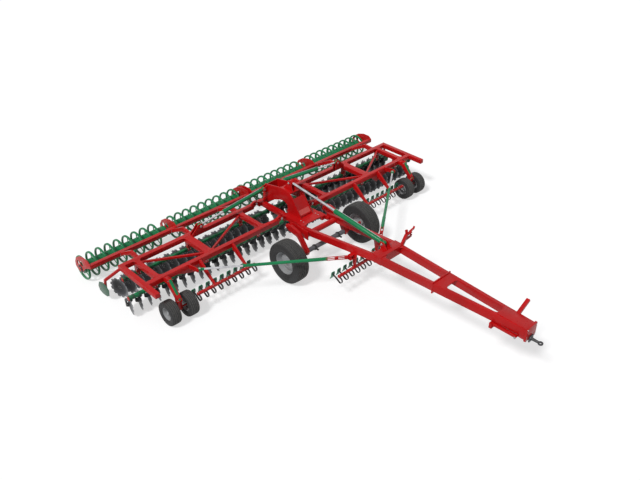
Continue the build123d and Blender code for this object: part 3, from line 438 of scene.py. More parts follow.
# A lighter copy of the disc steel for the front row: a painted sheen, with the shader's real edge wear on
# top.
DISC_PAINTED_SHEEN = Look(steel("disc steel painted sheen", (0.05, 0.052, 0.057), 0.4, metallic=0.45), "disc_steel")
CHROME = Look(steel("rod chrome", (0.5, 0.5, 0.52), 0.2), "rod_chrome")
SLEEVE = Look(paint("dark grey sleeve", (0.12, 0.12, 0.135), gloss=0.4), "grey_paint")
# A paler red for a panel on the tower's front plate: a painted sheen.
SHEEN_RED = Look(paint("red panel painted sheen", (0.62, 0.10, 0.09)), "red_paint")
DARK_GREEN = Look(paint("dark green plate", (0.02, 0.10, 0.055)), "green_paint")
ZINC = Look(steel("zinc bolts", (0.46, 0.46, 0.47), 0.38, metallic=0.9), "rod_chrome")
RUBBER = Look(rubber("tyre rubber", (0.012, 0.012, 0.013)), "tyre_rubber")


# Discs and their arms

DISC_RADIUS = 280
DISC_DEPTH = 45
DISC_WALL = 5
DISC_NECK = 62
DISC_LIFT = 5
DISC_RINGS = (0.0, DISC_NECK, 130, 195, 240)
EDGE_GRIND = 12
NOTCHES = 12
NOTCH_DEPTH = 30
NOTCH_STEPS = 8
WORN_FROM = 170
WORN_OVER = 110
PITCH = 250
HUB_LENGTH = 45
HUB_Z = DISC_RADIUS + DISC_LIFT
HUB_BOLTS = 5
HUB_BOLT_RING = 37
BAR_AHEAD = 200
BAR_Z = 620
BAR_HALF = 40
ARM_WIDTH = 30
ARM_DEPTH = 46
ARM_SWELL = 26
SADDLE_Z = BAR_Z - BAR_HALF - 16
LOOP_WALL = 11
LOOP_HALF = 48
LOOP_OFFSET = 23

# The lists name the nodes that the discs and the arms stand for.
Row = namedtuple("Row", "name places y yaw seed look discs arms")
# The front row takes the lighter disc steel, a painted sheen.
FRONT_ROW = Row("front", range(125, 5000, PITCH), 130, 197, 5, DISC_PAINTED_SHEEN, ["discs"], ["disc_arms"])
REAR_ROW = Row("rear", range(250, 5000, PITCH), 860, -17, 6, DISC_DARK, [], [])


def dish_offset(radius):
    """How deep the hollow is at a radius."""
    ball = (DISC_RADIUS ** 2 + DISC_DEPTH ** 2) / (2 * DISC_DEPTH)
    flat = max(radius, DISC_NECK)
    return ball - DISC_DEPTH - sqrt(ball ** 2 - flat ** 2)


def disc():
    """A hollow disc with a notched cutting edge, its hollow to +X, worn towards its edge."""
    lines = []
    wear_and_sheen = []
    for i in range(NOTCHES * NOTCH_STEPS):
        phase = (i % NOTCH_STEPS) / NOTCH_STEPS
        bite = max(0.0, sin(2 * pi * phase)) ** 0.6
        edge = DISC_RADIUS - NOTCH_DEPTH * bite
        inside = [(dish_offset(radius), radius) for radius in (*DISC_RINGS, edge - EDGE_GRIND)]
        outside = [(offset - DISC_WALL, radius) for offset, radius in reversed(inside)]
        line = [*inside, (dish_offset(edge) - 1.0, edge), *outside]
        lines.append(line)
        wear_and_sheen += [max(0.0, (radius - WORN_FROM) / WORN_OVER) ** 1.5 for _, radius in line]
    return spun(lines, wear_and_sheen=wear_and_sheen)


def disc_row(row):
    """All discs of one row, each turned a little differently about its own axle."""
    luck = random.Random(row.seed)
    one, whole = disc(), Shape()
    yaw = Matrix.Rotation(radians(row.yaw), 4, "Z")
    for x in row.places:
        spin = Matrix.Rotation(luck.uniform(0, 2 * pi), 4, "X")
        place = Matrix.Translation((x, row.y, HUB_Z)) @ yaw
        whole.add(one.moved(place @ spin))
    return whole


def curved_arm(x, bar_y, hub_y):
    """An arm that curves from under the tool bar down to its hub, deepest at its middle."""
    low = BAR_Z - BAR_HALF
    line = [(bar_y - 46, low - 22), (bar_y + 20, low - 26), (bar_y + 62, low - 70),
            (hub_y + 34, HUB_Z + 150), (hub_y + 18, HUB_Z + 70), (hub_y, HUB_Z - 20)]
    path = smooth_line([(x, *point) for point in line])
    last = len(path) - 1
    depths = [ARM_DEPTH + ARM_SWELL * sin(pi * i / last) for i in range(last + 1)]
    return swept(path, ARM_WIDTH, depths, ACROSS, 0.18)


def clamp_loop(x, bar_y):
    """A square bolt loop over the tool bar."""
    half = [(LOOP_HALF, SADDLE_Z), (LOOP_HALF, BAR_Z + 30), (LOOP_HALF - 8, BAR_Z + 47)]
    line = smooth_line([(x, bar_y + y, z) for y, z in both_ways(half)])
    return swept(line, LOOP_WALL, LOOP_WALL, ACROSS, 0.28)


def bearing(centre, look):
    """The bearing housing behind a disc and the round plate in its hollow."""
    back = centre - look * (DISC_DEPTH + DISC_WALL - 2)
    housing = [(-4, 30), (0, 50), (8, 54), (26, 54), (34, 46), (HUB_LENGTH + 12, 42), (HUB_LENGTH + 22, 34)]
    front = centre - look * (DISC_DEPTH - 1)
    cover = [(-2, 50), (4, 50), (7, 46), (7, 20), (13, 16)]
    return stepped(back, back - look, housing, 20).add(stepped(front, front + look, cover, 20))


def row_arms(row):
    """The arms of one row with their saddles, loops and bearings, and the bolts."""
    arms, bolted = Shape(), Shape()
    yaw = radians(row.yaw)
    look = Vector((cos(yaw), sin(yaw), 0))
    across = Vector((-look.y, look.x, 0))
    bar_y = row.y - BAR_AHEAD
    for disc_x in row.places:
        centre = Vector((disc_x, row.y, HUB_Z))
        x, hub_y, _ = centre - look * (DISC_DEPTH + HUB_LENGTH)
        arms.add(curved_arm(x, bar_y, hub_y), bearing(centre, look))
        arms.add(block(x - 33, x + 33, bar_y - 56, bar_y + 56, SADDLE_Z, SADDLE_Z + 15))
        for loop_x in (x - LOOP_OFFSET, x + LOOP_OFFSET):
            arms.add(clamp_loop(loop_x, bar_y))
            nuts = [(loop_x, bar_y + way * LOOP_HALF, SADDLE_Z) for way in WAYS]
            bolted.add(bolts(nuts, -UP, 10, washer=False))
        face = centre - look * (DISC_DEPTH - 7)
        heads = [face + across * a + UP * b for a, b in around(HUB_BOLTS, HUB_BOLT_RING)]
        bolted.add(bolts(heads, look, 7.5, washer=False))
    return arms, bolted


def build_discs():
    for row in (FRONT_ROW, REAR_ROW):
        arms, bolted = row_arms(row)
        make_pair("discs_" + row.name, disc_row(row), row.look, "wing", row.discs, smooth=30)
        make_pair("disc_arms_" + row.name, arms, BLACK, "wing", row.arms)
        make_pair("disc_arm_bolts_" + row.name, bolted, ZINC, "wing")


# Ring rollers

RING_RADIUS = 333
RING_PITCH = 262.5
RING_COUNT = 9
RING_HALF = 27
RING_FOOT = RING_RADIUS - 48
DRUM_RADIUS = 150
DRUM_GAP = 30
ROLLER_Y = 2164
SHAFT_RADIUS = 50
SHAFT_GAP = 14
SPOKES = 3
SPOKE_WALL = 10
BEARING_X = (60, 2520, 5040)
PLATE_HALF = 8
INNER_RING_GAP = 112
OUTER_RING_GAP = 52
CAP_RADIUS = 65
FLANGE_BOLTS = 6


def spoked_ring(x):
    """A ring with a rounded bead, its flat spokes and the weld collar round the drum."""
    place = (x, ROLLER_Y, RING_RADIUS)
    half, foot, drum = RING_HALF, RING_FOOT, DRUM_RADIUS
    band = both_ways([(-half * 0.55, foot), (-half * 0.62, foot + 9), (-half, foot + 15),
                      (-half, RING_RADIUS - 9), (-half * 0.72, RING_RADIUS - 2), (-half * 0.3, RING_RADIUS)])
    made = turned(band, 64, place).add(turned(both_ways([(-9, drum - 2), (-7, drum + 4)]), 48, place))
    outline = both_ways([(34, drum - 6), (20, drum + 30), (18, foot - 28), (30, foot + 3)])
    spoke = plate(outline, 0, SPOKE_WALL)
    for k in range(SPOKES):
        turn = Matrix.Rotation(2 * pi * k / SPOKES, 4, "X")
        made.add(spoke.moved(Matrix.Translation(place) @ turn))
    return made


def ring_roller(first, last, ring_x):
    """A drum on its shaft, with end flanges and spoked rings."""
    axis = (0, ROLLER_Y, RING_RADIUS)
    start, end = first + DRUM_GAP, last - DRUM_GAP
    bore = SHAFT_RADIUS - 2
    drum = [(start, bore), *chamfered(start, end, DRUM_RADIUS, 4), (end, bore)]
    start, end = first + SHAFT_GAP, last - SHAFT_GAP
    shaft = [(start, 0), *chamfered(start, end, SHAFT_RADIUS, 2), (end, 0)]
    whole = turned(drum, 48, axis).add(turned(shaft, 32, axis))
    for near in (first + 3, last - 16):
        whole.add(turned([(near, 0), (near, 58), (near + 13, 58), (near + 13, 0)], 28, axis))
    return whole.add(*(spoked_ring(ring_x + i * RING_PITCH) for i in range(RING_COUNT)))


def bearing_flange(x, way):
    """The flange of an end bearing round its cap, and its bolts."""
    outer = CAP_RADIUS + 38
    loop = [(0, CAP_RADIUS - 2), (0, outer), (way * 11, outer), (way * 14, outer - 4),
            (way * 14, CAP_RADIUS + 6), (way * 24, CAP_RADIUS), (way * 24, CAP_RADIUS - 2)]
    heads = [(x + way * 13, ROLLER_Y + a, RING_RADIUS + b) for a, b in around(FLANGE_BOLTS, CAP_RADIUS + 21)]
    return turned(loop, 32, (x, ROLLER_Y, RING_RADIUS)), bolts(heads, (way, 0, 0), 9, washer=False)


def build_rollers():
    inner, outer = [(a + PLATE_HALF, b - PLATE_HALF) for a, b in zip(BEARING_X, BEARING_X[1:])]
    outer_ring = outer[1] - OUTER_RING_GAP - (RING_COUNT - 1) * RING_PITCH
    for name, span, ring_x in (("inner", inner, inner[0] + INNER_RING_GAP), ("outer", outer, outer_ring)):
        roller = ring_roller(*span, ring_x)
        make_pair("roller_rings_" + name, roller, GREEN, name + "_roller", ["roller_" + name])
    inner_flange, inner_bolts = bearing_flange(BEARING_X[0] - PLATE_HALF, -1)
    outer_flange, outer_bolts = bearing_flange(BEARING_X[2] + PLATE_HALF, 1)
    make_pair("roller_bearings", inner_flange.add(outer_flange), BLACK, "wing")
    make_pair("roller_bearing_bolts", inner_bolts.add(outer_bolts), ZINC, "wing")


# Spring paddle boards

SPRING_WIDTH = 45
SPRING_WALL = 10
SPRING_RADIUS = 75
SPRING_END = 10
BOARD_HALF = 30
PADDLE_WIDTH = 130
PADDLE_HEIGHT = 210
PADDLE_WALL = 8
PADDLE_BACK = 210
PADDLE_RISE = 20
PADDLE_SLANT = 50
FOOT_DROP = 75

Board = namedtuple("Board", "first last count y z")
WING_BOARD = Board(1950, 3700, 9, -930, 520)
MIDDLE_BOARD = Board(-960, 960, 10, -2860, 640)


def leaf_line(x, y, z):
    """The middle line of a leaf spring, from its clamp under the bar forward, down and back."""
    under = z - BOARD_HALF
    front = y - BOARD_HALF
    low = under - SPRING_RADIUS * 2.1
    middle = (under + low) / 2
    high = (under - low) / 2 - SPRING_WALL / 2
    line = [(y + 26, under - 5), (y - 30, under - 5)]
    for k in range(13):
        angle = radians(90 + 15 * k)
        line.append((front + 2 + 72 * cos(angle), middle + high * sin(angle)))
    foot = z - FOOT_DROP
    back = y + PADDLE_BACK
    line += [(y - 10, low + 10), (y + 30, low + 36), (y + 120, foot - 22), (back - 40, foot - 4),
             (back - 12, foot + 10), (back - 5, foot + 30), (back - 5, foot + 66)]
    return [(x, *point) for point in line]


def paddle(x, back, z):
    """A blade that hangs upright from its spring and slants back towards the ground."""
    foot = z - FOOT_DROP
    top = z + PADDLE_RISE
    line = [(top - 2, 0), (top - 30, 0), (foot + 10, 0), (foot - 8, 4), (foot - 44, 20), (foot - 80, 36),
            (top - PADDLE_HEIGHT + 2, PADDLE_SLANT)]
    widths = [PADDLE_WIDTH] * len(line)
    widths[:2] = [PADDLE_WIDTH - 34, PADDLE_WIDTH - 6]
    widths[-1] = PADDLE_WIDTH - 8
    return swept([(x, back + y, level) for level, y in line], widths, PADDLE_WALL, ACROSS)


def spring_board(board):
    """Leaf springs, paddles and their bolts along one bar."""
    springs, paddles, bolted = Shape(), Shape(), Shape()
    y, z = board.y, board.z
    inset = SPRING_WIDTH / 2 + SPRING_END
    first = board.first + inset
    pitch = (board.last - inset - first) / (board.count - 1)
    under = z - BOARD_HALF
    back = y + PADDLE_BACK + PADDLE_WALL / 2
    for x in (first + i * pitch for i in range(board.count)):
        springs.add(swept(leaf_line(x, y, z), SPRING_WIDTH, SPRING_WALL, ACROSS, 0.15))
        springs.add(block(x - 28, x + 28, y - 31, y + 26, under - 1, under + 3))
        paddles.add(paddle(x, back, z))
        face = back + PADDLE_WALL / 2
        bolted.add(bolts([(x, face, z - FOOT_DROP + lift) for lift in (38, 58)], BACK, 9))
        bolted.add(bolt((x, y - 8, under - SPRING_WALL), -UP, 10), bolt((x, y - 8, z + BOARD_HALF), UP, 10))
    return springs, paddles, bolted


def put_board(put, name, board, body):
    """The pieces of one board, made once or as a pair."""
    springs, paddles, bolted = spring_board(board)
    put(name + "_leaves", springs, SPRING, body, [name + "_springs"])
    # The paddles take the lightened green, painted light.
    put(name + "_blades", paddles, PADDLE_GREEN_PAINTED_LIGHT, body, [name + "_paddles"])
    put(name + "_bolts", bolted, ZINC, body)


def build_boards():
    put_board(make_pair, "board", WING_BOARD, "wing")
    put_board(make, "mid_board", MIDDLE_BOARD, "chassis")


# Wheels

TREAD_PART = 0.84
CROWN_DROP = 0.035
SIDE_DUST = 0.12
# The tread's share of the lighter tone: dust and a painted sheen.
TREAD_DUST_AND_SHEEN = 0.8
ROAD_X = 1300
GAUGE_X = 4160
GAUGE_SPREAD = 500

Wheel = namedtuple("Wheel", "y radius width seat ribs cuts groove dish hub studs stud_ring")
ROAD_WHEEL = Wheel(y=-1470, radius=560, width=400, seat=300, ribs=9, cuts=110, groove=11, dish=40,
                   hub=95, studs=10, stud_ring=140)
GAUGE_WHEEL = Wheel(y=-815, radius=310, width=260, seat=155, ribs=5, cuts=64, groove=8, dish=20,
                    hub=50, studs=5, stud_ring=74)


def tread(wheel, dip):
    """The ribs across a tread, every other one lowered by a dip."""
    half = wheel.width / 2
    rib = 2 * half * TREAD_PART / wheel.ribs
    line = []
    for k in range(wheel.ribs):
        start = k * rib - half * TREAD_PART
        bend = (abs(start + rib / 2) / half) ** 2.4
        crown = wheel.radius * (1 - CROWN_DROP * bend)
        top = crown - dip if k % 2 == 0 else crown
        line += [(start + rib * 0.13, crown - wheel.groove), (start + rib * 0.2, top),
                 (start + rib * 0.8, top), (start + rib * 0.87, crown - wheel.groove)]
    return line


def tyre(wheel, x):
    """A tyre with round shoulders, plain side walls and ribs that are cut across in turn."""
    half = wheel.width / 2
    seat = wheel.seat
    wall = wheel.radius - seat
    side = [(-half * 0.55, seat - 2), (-half * 0.70, seat - 2), (-half * 0.80, seat + 6),
            (-half * 0.84, seat + 22), (-half * 0.95, seat + wall * 0.3),
            (-half * 0.995, seat + wall * 0.52), (-half * 0.985, seat + wall * 0.56),
            (-half * 0.975, seat + wall * 0.72), (-half * 0.93, wheel.radius * 0.945)]
    other_side = [(-offset, radius) for offset, radius in reversed(side)]
    lines = [side + tread(wheel, dip) + other_side for dip in (wheel.groove * 0.75, 0)]
    clean = [SIDE_DUST] * len(side)
    # Side walls take a little dust; the tread takes dust with a painted sheen.
    dust = clean + [SIDE_DUST, TREAD_DUST_AND_SHEEN, TREAD_DUST_AND_SHEEN, SIDE_DUST] * wheel.ribs + clean
    return spun(lines * wheel.cuts, (x, wheel.y, wheel.radius), dust * 2 * wheel.cuts)


def rim(wheel, x, face):
    """A pressed wheel with a rolled lip, a dished web and a hub, and its nuts."""
    half = wheel.width / 2 * 0.72
    seat, hub = wheel.seat, wheel.hub
    place = (x, wheel.y, wheel.radius)
    band = both_ways([
        (-half * 0.4, seat - 34), (-half + 24, seat - 13), (-half - 2, seat - 8), (-half - 6, seat + 8),
        (-half, seat + 10), (-half + 3, seat - 2), (-half + 26, seat - 7), (-half * 0.4, seat - 26),
    ])
    web = [(-26, seat - 30), (-20, seat * 0.80), (4, seat * 0.68), (14, seat * 0.55), (14, hub * 0.9)]
    web += [(offset - 8, radius) for offset, radius in reversed(web)]
    barrel = [(-58, 0), (-58, hub * 0.8), (10, hub), (24, hub), (26, hub * 0.72), (50, hub * 0.66),
              (58, hub * 0.5), (58, 0)]
    dish = wheel.dish * face
    shape = turned(band, 56, place)
    for profile, segments in ((web, 56), (barrel, 36)):
        shape.add(turned([(dish + face * offset, radius) for offset, radius in profile], segments, place))
    ring_points = around(wheel.studs, wheel.stud_ring, 0.5)
    heads = [(x + dish + face * 14, wheel.y + a, wheel.radius + b) for a, b in ring_points]
    return shape, bolts(heads, (face, 0, 0), 0.075 * wheel.stud_ring + 5)


def wheel_set(wheel, places):
    """The tyres, the rims and the nuts of the wheels at each (x, way they face)."""
    tyres, rims, nuts = Shape(), Shape(), Shape()
    for x, face in places:
        shape, heads = rim(wheel, x, face)
        tyres.add(tyre(wheel, x))
        rims.add(shape)
        nuts.add(heads)
    return tyres, rims, nuts


def build_wheels():
    tyres, rims, nuts = wheel_set(ROAD_WHEEL, [(ROAD_X, 1)])
    make_pair("road_tyre", tyres, RUBBER, "wheel", ["transport_tyre"], smooth=32)
    make_pair("road_rim", rims, GREY, "wheel", ["transport_rim"])
    make_pair("road_wheel_nuts", nuts, ZINC, "wheel")
    tyres, rims, nuts = wheel_set(GAUGE_WHEEL, [(GAUGE_X + way * GAUGE_SPREAD / 2, way) for way in WAYS])
    make_pair("gauge_tyres_ribbed", tyres, RUBBER, "gauge_pair", ["gauge_tyres"], smooth=32)
    make_pair("gauge_rims_pressed", rims, GREY, "gauge_pair", ["gauge_rims"])
    make_pair("gauge_wheel_nuts", nuts, ZINC, "gauge_pair")


# Cylinders and struts

PIN = 25
PIN_FIT = PIN - 0.3
EYE_RADIUS = PIN + 24
PIPE_LIFT = 16
PIPE_WALL = 12

Ram = namedtuple("Ram", "foot eye across barrel overlap radius rod width")
TILT_RAM = Ram(foot=(0, -3410, 1430), eye=(0, -150, 1770), across=ACROSS, barrel=1640, overlap=60,
               radius=65, rod=32, width=90)
FOLD_RAM = Ram(foot=(320, 600, 1390), eye=(2450, 600, 1180), across=BACK, barrel=1370, overlap=300,
               radius=50, rod=25, width=56)


def direction(start, end):
    return (Vector(end) - Vector(start)).normalized()


def ram_barrel(ram):
    """A barrel with its gland, ports and eye, and the pipe between its ports."""
    start, way = Vector(ram.foot), direction(ram.foot, ram.eye)
    r, last = ram.radius, ram.barrel
    neck = ram.width / 2
    steps = [(PIN + 14, neck - 8), (PIN + 34, neck - 6), (PIN + 52, r - 4), (PIN + 58, r), (last - 74, r),
             (last - 72, r + 5), (last - 10, r + 5), (last - 4, r + 1), (last - 1, r - 6),
             (last - 1, ram.rod + 3)]
    barrel = stepped(start, ram.eye, steps, 40)
    barrel.add(ring(start, ram.across, EYE_RADIUS, PIN, ram.width, 36))
    side = way.cross(ram.across).normalized()
    side = side if side.z > 0 else -side
    for t in (PIN + 100, last - 44):
        foot = start + way * t + side * (r - 4)
        barrel.add(stepped(foot, foot + side, [(0, 15), (16, 15), (18, 13)], 16))
    pipe = [start + way * t + side * (r + PIPE_LIFT) for t in (PIN + 104, last - 48)]
    return barrel, swept(pipe, PIPE_WALL, PIPE_WALL, ram.across, 0.29)


def ram_rod(ram):
    """A rod out of its barrel, the eye on its end and the pin through that."""
    start, end, way = Vector(ram.foot), Vector(ram.eye), direction(ram.foot, ram.eye)
    hidden = ram.barrel - ram.overlap
    reach = (end - start).length - hidden - PIN - 32
    chrome = stepped(start + way * hidden, end, [(0, ram.rod), (reach, ram.rod)], 32)
    neck = [(0, ram.rod + 1), (6, ram.rod + 8), (32, ram.rod + 10), (44, ram.rod + 6)]
    eye = stepped(end - way * (PIN + 60), end, neck, 28)
    eye.add(ring(end, ram.across, EYE_RADIUS, PIN, ram.width, 36))
    half = ram.across * (ram.width / 2 + 3)
    return chrome, eye, rod(end - half, end + half, PIN_FIT, 28)


def put_ram(put, name, ram, eye_look):
    """The pieces of one cylinder, made once or as a pair."""
    barrel, pipe = ram_barrel(ram)
    chrome, eye, pin = ram_rod(ram)
    put(name + "_cylinder_barrel", barrel, GREEN, name + "_cylinder", [name + "_barrel"])
    put(name + "_cylinder_pipe", pipe, ZINC, name + "_cylinder")
    put(name + "_cylinder_rod", chrome, CHROME, name + "_piston", [name + "_rod"])
    put(name + "_cylinder_eye", eye, eye_look, name + "_piston")
    put(name + "_cylinder_pin", pin, ZINC, name + "_piston")


def build_cylinders():
    put_ram(make, "tilt", TILT_RAM, RED)
    put_ram(make_pair, "fold", FOLD_RAM, GREEN)


STRUT_START = Vector((530, -2840, 1000))
STRUT_END = Vector((3430, -720, 1000))
STRUT_TUBE = 2580
STRUT_OVERLAP = 300
STRUT_RADIUS = 44
STRUT_WAIST = 38
FORK_NOSE = 46
FORK_LIFTS = (-22, 22)
FORK_RODS = (110, 345, 575)
FORK_WALL_HALF = 6


def fork_plate(way, side, lift):
    """One plate of a strut's inner end, with a round nose and two long slots."""
    angles = [radians(-20 * k) for k in range(10)]
    nose = [(FORK_NOSE * sin(angle), FORK_NOSE * cos(angle)) for angle in angles]
    outlines = [nose + [(150, -44), (150, 44)]]
    outlines += [[(140, w * 20), (140, w * 44), (610, w * 40), (610, w * 20)] for w in WAYS]
    outlines += [[(t, -22), (t, 22), (u, 22), (u, -22)] for t, u in ((300, 390), (560, 625))]
    shape = Shape()
    for outline in outlines:
        flat = [STRUT_START + way * t + side * w for t, w in outline]
        levels = (lift - FORK_WALL_HALF, lift + FORK_WALL_HALF)
        shape.add(prism(*[[point + UP * level for point in flat] for level in levels]))
    return shape


def build_struts():
    way = direction(STRUT_START, STRUT_END)
    side = way.cross(UP).normalized()
    last, wide, waist = STRUT_TUBE, STRUT_RADIUS, STRUT_WAIST
    steps = [(560, 30), (566, waist), (590, wide), (1080, wide), (1110, waist), (last - 50, waist),
             (last - 48, wide), (last - 4, wide), (last, 40), (last, 28)]
    tube = stepped(STRUT_START, STRUT_END, steps, 32)
    fork = Shape().add(*(fork_plate(way, side, lift) for lift in FORK_LIFTS))
    for middle in (STRUT_START + way * t for t in FORK_RODS):
        fork.add(stepped(middle - UP * 30, middle + UP * 30, [(0, 12), (60, 12)], 16))
    hidden = last - STRUT_OVERLAP
    reach = (STRUT_END - STRUT_START).length - hidden - 70
    slider = stepped(STRUT_START + way * hidden, STRUT_END, [(0, 25), (reach, 25)], 28)
    eye = stepped(STRUT_END - way * 110, STRUT_END, [(0, 27), (8, 34), (56, 34), (70, 24)], 28)
    eye.add(ring(STRUT_END, UP, EYE_RADIUS, PIN, 50))
    pin = rod(STRUT_END - UP * 30, STRUT_END + UP * 30, PIN_FIT, 24)
    make_pair("strut_sleeve", tube, GREEN, "strut", ["strut_tube"])
    make_pair("strut_fork", fork, RED, "strut", bevel=0.002)
    make_pair("strut_slider", slider, CHROME, "strut_slide", ["strut_rod"])
    make_pair("strut_slider_eye", eye, GREEN, "strut_slide")
    make_pair("strut_slider_pin", pin, ZINC, "strut_slide")


# Frames and their fittings

HINGE_X = 550
HINGE_Z = 1000
BEAMS_Y = (-316, 709)
BEAM_HALF = 60
BEAM_Z = 930
CROSSES_X = (1144, 2809, 4286)
CROSS_HALVES = (60, 100, 60)
LINKS_X = (1144, 2659, 4176)
ROLLER_BEAM_FACE = 1571
ROLLER_BEAM_Z = 660
TOOL_BARS_Y = (FRONT_ROW.y - BAR_AHEAD, REAR_ROW.y - BAR_AHEAD)
TOOL_BAR_ENDS = (5004, 4714)
BANDS_X = (4860, 4620)
HANGER_FACE = 54
HANGER_Z = 715
GUSSET_WALL = 8
TILT_HINGE = (0, -1130, 930)
TILT_HINGE_HALF = 540
AXLE_PIVOT = (0, -800, 1010)
AXLE_PIVOT_HALF = 800
PIVOT_RADIUS = 35


def build_frames():
    for side, _ in SIDES:
        wing = "wing" + side
        for node in ("wing_frame", "board_bar", "roller_frame", "gauge_arm"):
            dressed(node + side, RED, wing)
        dressed("tool_bars" + side, GREEN, wing, 0.008)
        dressed("deflector_plate" + side, DARK_GREEN, wing, 0.002)
        dressed("strut_knuckle" + side, RED, "knuckle" + side, 0.003)
    dressed("drawbar", RED, "chassis")
    dressed("mid_board_bar", RED, "chassis")
    dressed("axle_arms", RED, "axle", 0.008)
    dressed("centre_frame", RED, "centre")
    dressed("tower", RED, "centre", 0.004)
    dressed("parking_stand", RED, "stand", 0.004)


def pin_cap(point, axis, radius):
    """A keeper washer and a bolt on the end of a pin."""
    washer = [(-2, radius + 8), (4, radius + 8), (6, radius + 6), (6, 4)]
    head = bolt(point + axis * 5, axis, radius * 0.5, washer=False)
    return stepped(point, point + axis, washer, 28).add(head)


def end_caps(middle, axis, reach, radius=PIN):
    """The caps at both ends of one pin, or of two pins in line."""
    ways = [axis * way for way in WAYS]
    return Shape().add(*(pin_cap(Vector(middle) + way * reach, way, radius) for way in ways))


def pin_fittings():
    """The ends of the pins, on the bodies that hold them."""
    centre = end_caps(TILT_RAM.eye, ACROSS, 86)
    x, y, z = FOLD_RAM.foot
    for way in WAYS:
        centre.add(end_caps((way * x, y, z), BACK, 60))
        centre.add(*(end_caps((way * HINGE_X, beam, HINGE_Z), BACK, 70) for beam in BEAMS_Y))
    make("centre_pin_caps", centre, ZINC, "centre")
    chassis = end_caps(TILT_RAM.foot, ACROSS, 90)
    chassis.add(end_caps(TILT_HINGE, ACROSS, TILT_HINGE_HALF, PIVOT_RADIUS))
    chassis.add(end_caps(AXLE_PIVOT, ACROSS, AXLE_PIVOT_HALF, PIVOT_RADIUS))
    make("drawbar_pin_caps", chassis, ZINC, "chassis")
    make_pair("wing_pin_caps", end_caps(FOLD_RAM.eye, BACK, 72), ZINC, "wing")


def gusset(x, y, way_x, way_y, leg, low):
    """A flat corner plate with a hollow curved edge."""
    angles = [radians(15 * k) for k in range(7)]
    curve = [(leg * (1 - sin(angle)), leg * (1 - cos(angle))) for angle in angles]
    outline = [(x + way_x * a, y + way_y * b) for a, b in ((-4, -4), (leg, -4), *curve, (-4, leg))]
    return plate(outline, low + GUSSET_WALL / 2, GUSSET_WALL, "z")


def hanger_bolts():
    """Bolts on both faces of the hangers that hold the tool bars."""
    made = Shape()
    for x in CROSSES_X:
        for face, way in [(y + way * HANGER_FACE, way) for y in TOOL_BARS_Y for way in WAYS]:
            made.add(bolts(corners(x, face, HANGER_Z, 30, 75), (0, way, 0), 11))
    return made


def link_flanges():
    """The flanges of the roller links on both of their beams, and the bolts."""
    red, bolted = Shape(), Shape()
    face = BEAMS_Y[1] + BEAM_HALF
    for x in LINKS_X:
        red.add(block(x - 75, x + 75, face - 1, face + 15, BEAM_Z - 58, BEAM_Z + 58))
        bolted.add(bolts(corners(x, face + 15, BEAM_Z, 55, 37), BACK, 13))
        front = ROLLER_BEAM_FACE - 15
        red.add(block(x - 60, x + 60, front, ROLLER_BEAM_FACE, ROLLER_BEAM_Z - 44, ROLLER_BEAM_Z + 44))
        bolted.add(bolts(corners(x, front, ROLLER_BEAM_Z, 47, 26), -BACK, 11))
    return red, bolted


def beam_corners():
    """Gussets and weld beads where the cross members meet the beams."""
    red = Shape()
    for y, way in ((BEAMS_Y[0] + BEAM_HALF, 1), (BEAMS_Y[1] - BEAM_HALF, -1)):
        bead = y + way
        for x, half in zip(CROSSES_X, CROSS_HALVES):
            for turn in WAYS:
                end = x + turn * half
                red.add(gusset(end, y, turn, way, 95, 984), rod((end, bead, 872), (end, bead, 986), 5, 8))
            red.add(rod((x - half, bead, 989), (x + half, bead, 989), 4, 8))
    return red


def tool_bar_ends():
    """The end caps of the tool bars, and the black bands near them."""
    caps, bands = Shape(), Shape()
    for x, band_x, y in zip(TOOL_BAR_ENDS, BANDS_X, TOOL_BARS_Y):
        half = BAR_HALF + 4
        caps.add(block(x, x + 12, y - half, y + half, BAR_Z - half, BAR_Z + half))
        half = BAR_HALF + 7
        for start in (band_x, band_x + 26):
            bands.add(block(start, start + 14, y - half, y + half, BAR_Z - half, BAR_Z + half))
    return caps, bands


def wing_fittings():
    """Flanges, gussets, weld beads, end caps, bands and bolts of a wing's frame."""
    red, bolted = link_flanges()
    caps, bands = tool_bar_ends()
    make_pair("wing_gussets", red.add(beam_corners(), caps), RED, "wing", bevel=0.002)
    make_pair("tool_bar_bands", bands, BLACK, "wing", bevel=0.003)
    make_pair("wing_bolts", bolted.add(hanger_bolts()), ZINC, "wing")


FLANGE_Y = -5125
FLANGE_HALF = 15
NOSE_FACE = -7450
DRAWBAR_GUSSETS = ((315, -3680, -1, 150, 1311), (318, -3420, 1, 150, 1301), (126, -6700, 1, 90, 1311),
                   (222, -5400, -1, 120, 1311))


def drawbar_fittings():
    """Curved gussets of the drawbar, and the bolts of its flange and its nose."""
    red, bolted = Shape(), Shape()
    for way in WAYS:
        row = [(x, FLANGE_Y + way * FLANGE_HALF, 1090) for x in range(-280, 281, 70)]
        bolted.add(bolts(row, (0, way, 0), 14))
        for x, y, way_y, leg, low in DRAWBAR_GUSSETS:
            red.add(gusset(way * x, y, -way, way_y, leg, low))
    bolted.add(bolts(corners(0, NOSE_FACE, 1185, 150, 125), -BACK, 14))
    make("drawbar_gussets", red, RED, "chassis", bevel=0.002)
    make("drawbar_bolts", bolted, ZINC, "chassis")


REST_Y = -3610
FRONT_REST_Y = -7000


